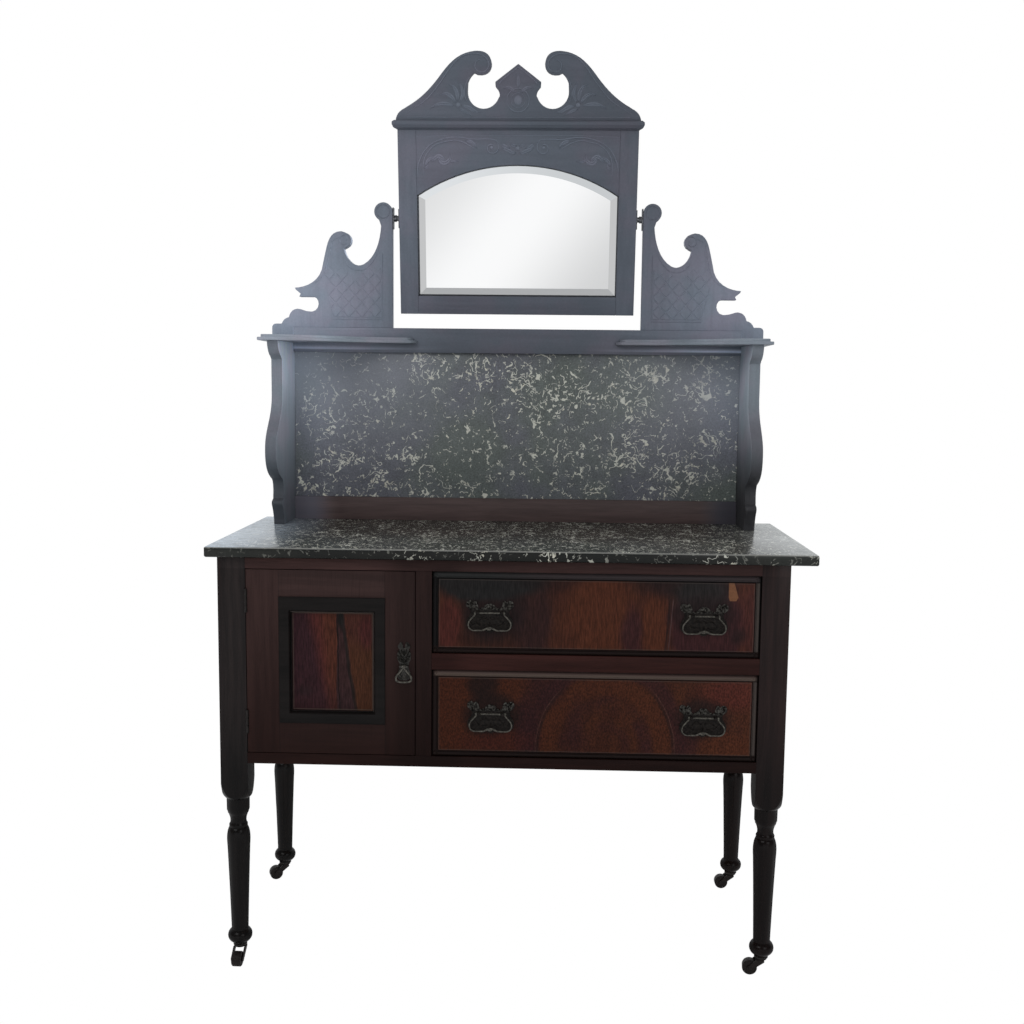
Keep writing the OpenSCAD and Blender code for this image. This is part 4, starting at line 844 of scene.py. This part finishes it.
def silvered():
    """Bevelled mirror with painted reflections: the flat glass paler across its middle, each bevel
    face a set grey.
    """
    g = Graph("silvered")
    field_y, field_z = (LEAN_M @ Vector((0, -1, 0)))[1:]
    out = g.ny * field_y + g.nz * field_z
    slant = g.x * 0.9 + (g.z - 1.38) * -0.75
    # painted reflection: greyer towards the lower right and the upper left
    field = g.mix(slant.step(0, 0.26), (0.95, 0.955, 0.96), (0.64, 0.645, 0.65))
    field = g.mix(slant.step(-0.02, -0.24), field, (0.74, 0.745, 0.75))
    # painted reflection: each bevel face a set grey by the way it faces
    edge = g.mix(g.nx.step(-0.04, 0.04), (0.76, 0.765, 0.77), (0.6, 0.605, 0.61))
    edge = g.mix(g.nz.step(-0.12, -0.08), (0.54, 0.545, 0.55), edge)
    edge = g.mix(g.nz.step(-0.19, -0.21), edge, (0.5, 0.505, 0.51))
    return g.finish(g.mix(out.step(0.9982, 0.9992), edge, field), 0.015, 0.5, 1.0)


MIRROR = silvered()

# ---- boards, rounded over

# Slots of the boards, with material, width of the rounding in millimetres and nodes
BOARDS = [
    ("dark_wood", [
        (WOOD_X, 0.7, "top_rail bottom_rail"),
        (RAIL_MID, 0.7, "drawer_rail"),
        (WOOD_Z, 0.7, "muntin"),
        (WOOD_Y, 0.6, "side_panels"),
        (WOOD_X, 0.6, "back_rail")]),
    ("black_wood", [
        (POST, 1.0, "post_front_left post_front_right post_back_left post_back_right")]),
    ("plain_wood", [
        (PALE_Y, 0.4, "partition drawer_runners drawer_upper_tray drawer_lower_tray"),
        (PALE_X, 0.4, "case_bottom back_board gallery_back"),
        (PALE_Z, 0.4, "mirror_back")]),
    ("dark_wood", [
        (WING_LEFT_LIT, 0.9, "wing_left"),
        (WING_RIGHT_DIM, 0.9, "wing_right"),
        (TOP_Z, 0.9, "upright_left upright_right mirror_stiles"),
        (TOP_X, 0.9, "mirror_bottom_rail mirror_head mirror_cornice mirror_crest"),
        (SHELF, 1.1, "shelves"),
        (RAIL_LOW, 0.7, "splash_bottom_rail"),
        (RAIL_TOP, 0.7, "splash_top_rail")]),
    ("marble", [
        (SLAB, 1.0, "marble_top"),
        (SPLASH, 0.3, "splash_marble")]),
    ("black_wood", [
        (BLACK, 0.35, "door_moulding")]),
    ("veneered_wood", [
        (panel_veneer(), 0.3, "door_panel"),
        (drawer_veneer("drawer_veneer_upper", False), 0.5, "drawer_upper_front"),
        (drawer_veneer("drawer_veneer_lower", True), 0.5, "drawer_lower_front")]),
    ("dark_wood", [
        (door_wood(), 0.8, "door_frame")]),
    ("old_brass", [
        (HINGE_SHADED, 0.3, "hinge_leaves_fixed hinge_leaves_moving"),
        (BRASS_DARK, 0.3, "castor_sockets"),
        (KNOB, 0.4, "pivot_brackets mirror_pivots")]),
    ("dark_iron", [
        (IRON, 0.5, "back_plates castor_fork_fl castor_fork_fr castor_fork_bl castor_fork_br "
         "castor_wheel_fl castor_wheel_fr castor_wheel_bl castor_wheel_br")])]
others = set(NODES)
for slot_, rows in BOARDS:
    for mat_, width_, names in rows:
        for node_ in names.split():
            give(NODES[node_], mat_)
            eased(node_, mat_, slot_, width_, 3 if width_ > 0.8 else 2)
            others.remove(node_)
for node_ in others:
    give(NODES[node_], MIRROR if node_ == "mirror_glass" else BRASS)


# ---- mirror glass

def light(grow):
    """Outline of the mirror's light opening, moved outwards."""
    r = (GLASS_HALF ** 2 + RISE ** 2) / (2 * RISE)
    h, low, big = GLASS_HALF + grow, GLASS_LOW + grow, r + grow
    a = math.degrees(math.asin(h / big))
    return [(-h, -low), (h, -low)] + spiral(0, SPRING + RISE - r, big, big, 90 - a, 90 + a, 40)


def glass():
    """Silvered plate with a wide, shallow bevel all round."""
    s = Shape()
    rings = [[(x, z, w) for x, z in light(g)] for g, w in ((5.6, -4.0), (5.6, -0.9), (-16.0, 1.0))]
    s.add(sum(rings, []), shut(3, len(rings[0])), on_mirror(0))
    piece(s.make("glass_bevelled", 2), "mirror", "mirror_glass", MIRROR, "mirror_glass")


glass()


# ---- carving

FRIEZE = [
    # C-scroll: outer and inner raised lines that end in a spiral
    (ridge, (-200, 82, -201, 100, -195, 119, -185, 135, -171, 147, -153, 154.5, -133, 158.5,
            -113, 158.5, -97, 156, -82, 155, -62, 155.5, -46, 154, -37, 148), 2.6, 1.3),
    (ridge, (-189, 84, -190, 103, -186, 121, -177, 134, -163, 145, -145, 150, -125, 153,
            -109, 149, -96, 142.5, -87, 137), 2.2, 1.2),
    (leaf, (-104, 152, -95, 150, -87, 145, -82, 138), 8, 1.5),
    (ridge, spiral(-52, 139, 15, 4.5, 60, -330, 28), 2.4, 1.3),
    (dome, [(-52, 139)], 3.2, 1.6),
    # acanthus inside the scroll
    (leaf, (-186, 104, -180, 114, -171, 119, -163, 116), 7, 1.4),
    (leaf, (-172, 112, -160, 122, -150, 117, -149, 109), 9, 1.6),
    (leaf, (-160, 120, -152, 110, -143, 110, -136, 118, -137, 127), 9, 1.7),
    (leaf, (-186, 97, -181, 103, -180, 110), 5, 1.1),
    (leaf, (-139, 116, -128, 112, -118, 114), 5, 1.2),
    # sprig towards the middle
    (leaf, (-33, 146, -24, 140, -14, 138), 7, 1.5),
    (leaf, (-31, 138, -20, 134, -9, 129, -3, 131), 8, 1.6),
    (leaf, (-14, 146, -8, 143, -2, 145), 6, 1.4),
    (ridge, (-203, 159.5, -120, 162.5, -40, 162.5, 0, 162.5), 1.2, 0.5, 0)]
CREST = [
    # line that follows the swan neck and curls up in its scroll
    (ridge, (-226, 12, -205, 24, -185, 37, -168, 54, -150, 77, -134, 99, -116, 117, -96, 124.5,
            -78, 124, -64, 117, -58.5, 106, -61, 96, -69, 91, -79, 92, -85, 99, -84, 108, -77, 113,
            -70, 110), 2, 1),
    # line round the opening
    (ridge, spiral(-68, 54, 38.5, 38.5, 212, 132, 20), 1.8, 0.9),
    # leaf sprays
    (leaf, (-124, 33, -132, 44, -143, 50, -155, 48), 8, 1.3),
    (leaf, (-120, 36, -121, 50, -127, 62, -137, 68), 8, 1.3),
    (leaf, (-116, 34, -110, 48, -112, 62, -118, 72), 7, 1.2),
    (leaf, (-128, 28, -146, 31, -162, 29, -175, 22), 8, 1.3),
    (leaf, (-112, 28, -98, 24, -86, 17, -74, 15), 8, 1.2),
    (leaf, (-118, 22, -104, 16, -92, 9), 6, 1.1),
    (dome, [(-119, 29)], 4.5, 1.5),
    (ridge, [(-222, 5.5), (-150, 5.5), (-60, 5.5), (0, 5.5)], 1.4, 0.6, 0),
    # pentagon's edge line and the shield
    (ridge, [(-37.5, 69), (-30, 77.5), (-15, 89), (0, 99.5)], 1.8, 0.8, 0),
    (leaf, (-6, 52, -14, 60, -22, 62, -29, 60), 6, 1.2)]
CREST_MIDDLE = [
    (ridge, spiral(0, 38, 22, 22, 0, 360, 48), 2.2, 1.1, 0),
    (ridge, spiral(0, 38, 14, 14, 0, 360, 40), 1.4, 0.8, 0),
    (dome, [(0, 38)], 8, 1.6, 5, 20, 1.15),
    (leaf, [(0, 62), (0, 70), (0, 80), (0, 88)], 7, 1.3)]


def carving(name, face, rows, middle, up):
    s = Shape()
    relief(s, face, rows, up)
    relief(s, face, middle, up, (1,))
    piece(s.make(name, 40), "mirror", "dark_wood", CARVED)


carving("frieze_carving", on_mirror(-MIRROR_T / 2), FRIEZE, [(dome, [(0, 138)], 4, 1.8)], 0)
carving("crest_carving", on_mirror(MIRROR_T / 2 - CREST_T), CREST, CREST_MIDDLE,
        MIRROR_HIGH + CORNICE_H)


def clip(poly, px, pz, nx, nz):
    """Part of a convex outline on the side of a line that its normal points to."""
    out = []
    for i, b in enumerate(poly):
        a = poly[i - 1]
        da = (a[0] - px) * nx + (a[1] - pz) * nz
        db = (b[0] - px) * nx + (b[1] - pz) * nz
        if (da < 0) != (db < 0):
            t = da / (da - db)
            out.append((a[0] + (b[0] - a[0]) * t, a[1] + (b[1] - a[1]) * t))
        if db >= 0:
            out.append(b)
    return out


# Lines that bound the diamond cut panel: a point and the normal that looks inwards
PANEL_SIDES = [(23, 0, 1, 0), (0, 41.5, 0, 1), (126, 60, -0.97, 0.24)]
UPRIGHT_LINES = [
    (ridge, [(20, 36), (20, 150), (20, 170)], 1.6, 0.8, 0),
    (ridge, [(19.5, 37), (70, 37), (122, 37)], 1.6, 0.8, 0),
    (ridge, (27, 182, 34, 164, 46, 147, 59, 138, 75, 137, 90, 145, 98, 158), 1.8, 0.8),
    (ridge, (108, 203, 122, 196, 127, 180, 133, 155, 140, 132, 152, 116, 168, 108), 1.8, 0.8),
    (ridge, spiral(18.5, 254.5, 13.5, 13.5, 0, 360, 36), 1.6, 0.8, 0),
    (ridge, spiral(98, 196, 13, 5, 150, -240, 30), 1.8, 0.9)]


def lattice(side, name):
    """Diamond cut panel on an upright: low pads parted by grooves, with a stud on each."""
    s = Shape()
    place = lambda u, v, w: (GALLERY_X + side * (UPRIGHT_X + u), UPRIGHT_FACE - w, SHELF_TOP + v)
    half_w, half_h, high = 13.5, 15.0, 0.75
    for i in range(-1, 9):
        for j in range(-1, 9):
            cx, cz = 22 + half_w * i, 40 + half_h * j
            if (i + j) % 2 or cz > 132 or math.hypot(cx - 66, (cz - 186) * 0.92) <= 54:
                continue
            pad = [(cx - half_w + 1.1, cz), (cx, cz - half_h + 1.3), (cx + half_w - 1.1, cz),
                   (cx, cz + half_h - 1.3)]
            for line in PANEL_SIDES:
                pad = clip(pad, *line)
            n = len(pad)
            if n < 3:
                continue
            mx, mz = (sum(c) / n for c in zip(*pad))
            top = [(x + (mx - x) * 0.1, z + (mz - z) * 0.1, high) for x, z in pad]
            s.add([(x, z, SUNK) for x, z in pad] + top, quads(2, n) + [range(n, 2 * n)], place)
            if n == 4 and abs(mx - cx) < 0.5 and abs(mz - cz) < 0.5:
                dome(s, place, [(mx, mz)], 1.3, high + 0.5, 3, 10)
    relief(s, place, UPRIGHT_LINES, 0, (1,))
    piece(s.make(name, 30), "case", "dark_wood", TOP_Z)


lattice(-1, "lattice_left")
lattice(1, "lattice_right")


# ---- handles

PLATE_HALF = pairs(0, 23, 4, 22.5, 8, 20, 11, 16, 12.5, 13.5, 17, 12.5, 20, 14.5, 21, 19.5,
            22.5, 24.5, 25.5, 28, 28, 27.5, 29.5, 24.5, 31, 26, 34, 28.5, 38, 28, 41, 25.5,
            42, 20.5, 40.5, 16.5, 36.5, 13.5, 34, 10, 33.5, 6.5, 35.5, 1.5, 39, -3.5, 41, -8.5,
            41.5, -13.5, 39.5, -19.5, 34.5, -24.5, 26.5, -27, 16, -26.5, 9, -24.5, 5, -27.5, 0, -29)
PLATE_RELIEF = [
    # curled leaves at the top corners
    (leaf, (33.5, 11, 34.5, 17, 37.5, 21, 41, 22), 6, 2.1),
    (leaf, (32.5, 12, 33, 18, 35, 24, 38.5, 27), 5.5, 2),
    (leaf, (31, 12, 31.5, 18, 32, 23, 33.5, 27.5), 4.5, 1.6),
    (ridge, (31, 11, 29, 17, 29.3, 22, 27.5, 26, 24.5, 25.5, 23.6, 22.5, 25, 20.5), 2.6, 1.9,
            0.1),
    (ridge, (29, 13, 24, 14.5, 21.5, 16.5), 1.6, 1),
    # rim
    (ridge, (32, 8, 32.2, 5, 34, 1, 37, -3.5, 39, -9, 39.3, -13.5, 37.5, -18.5, 33.2, -22.5,
            26, -24.8, 16.5, -24.4, 9, -22.4, 4.6, -25.2, 0, -26.6), 1.9, 0.9, 0),
    # arched crest above the bar
    (ridge, (0, 21.2, 4, 20.6, 7.3, 18.2, 9.8, 14.5, 11.5, 12), 1.9, 1.2, 0),
    (dome, [(13.5, 14)], 1.9, 1.9, 4, 12),
    (dome, [(18.2, 13.4)], 1.2, 1.2, 3, 10),
    (leaf, (2, 13, 4.5, 15.5, 5.2, 18), 3, 1),
    # shallow leaves inside the loop of the bail
    (leaf, (3, -6, 9, -3, 15, -4, 20, -9), 6, 1),
    (leaf, (6, -14, 13, -16, 20, -14, 26, -8), 6, 1),
    (ridge, spiral(29, -12, 6, 2.2, 120, -200, 20), 1.6, 0.9),
    (dome, [(10.5, 2.5)], 1.5, 1.2, 3, 10)]
PLATE_MIDDLE = [
    (leaf, [(0, 11.5), (0, 14.5), (0, 17.5), (0, 20.3)], 4, 1.3),
    (dome, [(0, -5)], 3, 1.2, 4, 16),
    (leaf, [(0, -10), (0, -14), (0, -19), (0, -24)], 5, 1.1)]


def handle_plate(s, place):
    """Cast plate with its relief, and the two posts that carry the bail."""
    plate(s, whole(PLATE_HALF), 1.7, 0.7, place)
    up = moved(place, 0, 0, PLATE_T)
    relief(s, up, PLATE_RELIEF)
    relief(s, up, PLATE_MIDDLE, 0, (1,))
    for x in (-21, 21):
        lathe(s, [(3.6, 0), (3.4, 1.2), (2.4, 2.2), (2.2, 5), (2.9, 6.4), (3.5, 8), (3.7, 9.5),
                  (3.2, 11.2), (1.9, 12.3), (0.1, 12.6)], moved(place, x, BAR_UP, 0), 18)


def bail(name, body, node, x, z):
    """Wide cast bail, arched and swelling in its grip's middle, and the bar through its posts."""
    s = Shape()
    y, end, bx, bz = FIELD_Y - 9, 26.2, 37.2, -31.2
    half = [(25.25, 2.2), (25.25, -1.5)]
    half += bez((25.85, -3.2), (29.25, -8), (bx - 2.6, bz * 0.38), (bx - 0.3, bz * 0.56), 9)
    half += bez((bx + 0.2, bz * 0.68), (bx, bz * 0.86), (bx - 3.5, bz), (bx - 9.5, bz), 9)
    half += [(15.2, bz), (11.1, bz + 0.6), (8.6, bz + 1.8), (6.6, bz + 3), (2.5, bz + 4.3),
             (0, bz + 4.5)]
    path = half + [(-x, z) for x, z in half[-2::-1]]
    thick = lambda t: 1.3 + 0.6 * math.exp(-((t - 0.5) / 0.09) ** 2)
    tube(s, [(x + u, y, z + v) for u, v in curve(path, 2)], thick)
    lathe(s, [(0.2, -3.6), (1.2, -3.4), (1.9, -2), (2.2, 0), (1.9, 2), (1.2, 3.4), (0.2, 3.6)],
          across(x - 1, y, z - 29.4, 0.8), 16)
    tube(s, [(x - end, y, z), (x, y, z), (x + end, y, z)], 1.6)
    for side in (-25.6, 25.6):
        lathe(s, [(0.2, -2.2), (1.8, -1.7), (2.5, 0), (1.8, 1.7), (0.2, 2.2)],
              across(x + side, y, z), 16)
    piece(s.make(name, 40), body, "old_brass", BRASS, node)


for row, up_, shift_, mat_ in (("upper", 661.0, 1.5, PLATE_UPPER),
                               ("lower", 479.5, 4.5, PLATE_LOWER)):
    plates = Shape()
    for side_, sign in (("left", -1), ("right", 1)):
        x_ = HANDLE_X + shift_ + sign * HANDLE_APART
        handle_plate(plates, front(x_, FIELD_Y, up_))
        bail(f"bail_{row}_{side_}_cast", f"handle_{row}_{side_}", f"bail_{row}_{side_}", x_,
             up_ + BAR_UP)
    piece(plates.make(f"plates_{row}_cast", 40), f"drawer_{row}", "old_brass", mat_,
          f"drawer_{row}_plates")

PULL_HALF = pairs(0, 31.5, 2, 33.5, 2.5, 39, 4, 42.5, 6.5, 42.5, 9.5, 38.5, 11.5, 34.5, 10, 31.5,
            8, 30.5, 9.5, 27, 11.8, 22, 12, 16, 11, 10, 8.5, 4.5, 7.2, 0, 8, -5, 10.5, -11,
            12.2, -17, 11.6, -21.5, 8.5, -25, 4, -26.5, 0, -26.5)
PULL_RELIEF = [
    # rows of leaves
    (leaf, (2, 21, 3.6, 25, 4.2, 28, 3, 30.5), 4.4, 1.9),
    (leaf, (4.5, 19, 7.6, 22, 9.4, 25, 8.6, 28), 4.4, 1.8),
    (leaf, (4, 13, 7.4, 14.6, 10.2, 17.5, 10.6, 20.6), 4.4, 1.8),
    (leaf, (2.2, 14, 4.4, 16.5, 6.2, 19.5, 6, 22), 4, 2.1),
    (leaf, (2.5, 8, 5.6, 8.8, 8.6, 11.2, 9.8, 14), 4.2, 1.7),
    (leaf, (1.4, 8, 3.2, 10, 4.6, 12.6, 4.4, 15), 3.6, 2.2),
    (dome, [(3, 4.6)], 1.9, 1.9, 4, 12),
    (ridge, (6.2, -2, 7, -6, 9.2, -11, 10.6, -17, 10.2, -20.5, 7.8, -23.4, 4, -24.8, 0, -24.8),
            1.5, 0.7, 0),
    (leaf, (1.5, -21, 4.5, -18, 6, -13, 4, -9), 4.5, 0.9)]
PULL_MIDDLE = [
    # two curls that stand above the leaves, unlike each other
    (ridge, (-3.4, 31, -3.2, 35, -4.2, 39, -5.6, 42), 3.2, 2.2, 0.2),
    (dome, [(-3.2, 33.5)], 1.7, 1.8, 4, 12),
    (ridge, (3.2, 31, 4.4, 34, 7.6, 35.4, 10.2, 34.2), 2.6, 2, 0.2),
    (leaf, (10.4, 34, 8.2, 36.5, 5.8, 39.5, 4.8, 42), 5, 2.2),
    (dome, [(9.9, 34.6)], 1.7, 2, 4, 12),
    # leaves on the middle line
    (leaf, [(0, 15), (0, 20), (0, 25), (0, 30)], 4.2, 2.2),
    (leaf, [(0, 4), (0, 8), (0, 12), (0, 16)], 4, 2.3)]


def door_pull():
    """Cast plate with two posts, and the ring that hangs between them."""
    place = front(PULL_X, CASE_FRONT, PULL_Z)
    s = Shape()
    plate(s, whole(PULL_HALF), 1.6, 0.6, place)
    up = moved(place, 0, 0, PULL_T)
    relief(s, up, PULL_MIDDLE, 0, (1,))
    relief(s, up, PULL_RELIEF)
    for x in (-5.5, 5.5):
        lathe(s, [(2.8, 0), (2.4, 1.4), (2, 3), (2, 5.4), (2.6, 6.6), (2.9, 8), (2.4, 9.8),
                  (1.2, 10.6), (0.1, 10.8)], moved(place, x, 0, 0), 16)
    piece(s.make("pull_plate_cast", 40), "door", "old_brass", PULL, "pull_plate")
    s = Shape()
    y, end, wire = CASE_FRONT - 8, 8, 1.8
    rx, rb = 31 / 2 - wire, -30 + wire
    half = [(0, -1), (3, -5.2)]
    half += bez((6.4, -9.8), (rx - 2.4, rb * 0.54), (rx + 0.5, rb * 0.64), (rx, rb * 0.8), 9)
    half += bez((rx - 0.6, rb * 0.88), (rx - 2.5, rb * 0.98), (6, rb), (0, rb), 9)
    pts = curve(whole(half) + half[:1], 3)[:-1]
    tube(s, [(PULL_X + u, y, PULL_Z + v) for u, v in pts], wire, 14, True)
    tube(s, [(PULL_X + u, y, PULL_Z) for u in (-end, 0, end)], 1.4, 12)
    lathe(s, [(0.2, -3.6), (2.3, -3.3), (2.9, 0), (2.3, 3.3), (0.2, 3.6)],
          across(PULL_X, y, PULL_Z), 16)
    piece(s.make("ring_pull_cast", 40), "door_ring", "old_brass", BRASS, "ring_pull")


door_pull()


# ---- camera, floor, light

def camera(at, turned, tilted, rolled, lens):
    """At is in millimetres and the angles are in degrees; tilted is down from level."""
    cam = bpy.data.cameras.new("camera")
    cam.sensor_width, cam.lens, cam.clip_start, cam.clip_end = 36.0, lens, 0.05, 80
    m = Matrix.Translation(Vector(at) * MM)
    for angle, axis in ((turned, "Z"), (90 - tilted, "X"), (rolled, "Z")):
        m = m @ Matrix.Rotation(math.radians(angle), 4, axis)
    ob = link("camera", cam)
    ob.matrix_world = m
    bpy.context.scene.camera = ob


camera((68.9, -2273.15, 1075.8), 1.82, 6.39, 0.59, 41.76)


def floor_material():
    """Lit floor that is plain white to the camera and, far in front, to the mirror."""
    g = Graph("floor")
    g.finish((0.8, 0.8, 0.8), 0.9, 0.1)
    ray = g.new("LightPath").outputs
    far = g.y.step(-2.8, -4.2)
    seen = g.most(ray["Is Camera Ray"], far * ray["Is Glossy Ray"], clamp=True)
    lit = g.nodes["Principled BSDF"].outputs[0]
    white = g.fill(g.new("Emission"), (1, 1, 1), 1)
    g.put(g.nodes["Material Output"].inputs["Surface"], g.surface(seen, lit, white))
    return g.owner


FAR = 30
floor_me = bpy.data.meshes.new("floor")
floor_me.from_pydata([(-FAR, -FAR, 0), (FAR, -FAR, 0), (FAR, FAR, 0), (-FAR, FAR, 0)], [],
                     [range(4)])
floor = link("floor", floor_me)
give(floor, floor_material())


def surroundings():
    """White to the camera, dimmer as light, and brighter behind the object in its polish."""
    bpy.context.scene.world = bpy.data.worlds.new("world")
    g = Graph("world", bpy.context.scene.world)
    y, z = g.xyz(g.dir)[1:]
    # a narrow bright strip level with the mirror, in front, that its upper bevel shows
    strip = y.step(-0.86, -0.9) * z.step(0.17, 0.13) * z.step(-0.2, -0.17)
    bright = g.most(0.13 + y.step(-0.2, 0.7) * 0.72, strip)
    lit = g.fill(g.nodes["Background"], (0.97, 0.985, 1), 0.74)
    gloss = g.fill(g.new("Background"), (0.95, 0.98, 1), bright)
    seen = g.fill(g.new("Background"), (1, 1, 1), 1)
    ray = g.new("LightPath").outputs
    lit = g.surface(ray["Is Glossy Ray"], lit, gloss)
    g.put(g.nodes["World Output"].inputs["Surface"], g.surface(ray["Is Camera Ray"], lit, seen))


surroundings()

for name, at, aim_z, size, power in (("key", (-1.9, -2.9, 2.9), 0.8, (2.0, 1.6), 32),
                                     ("fill", (1.9, -3.0, 1.7), 0.8, (1.6, 1.6), 15),
                                     ("rear", (0.4, 2.2, 2.9), 1.0, (2.2, 1.2), 30)):
    lamp = bpy.data.lights.new(name, "AREA")
    lamp.shape, lamp.energy = "RECTANGLE", power
    lamp.size, lamp.size_y = size
    lamp_ob = link(name, lamp)
    lamp_ob.location = at
    aim = Vector((0, 0, aim_z)) - Vector(at)
    lamp_ob.rotation_euler = aim.to_track_quat("-Z", "Y").to_euler()

bpy.context.scene.view_settings.view_transform = "Standard"
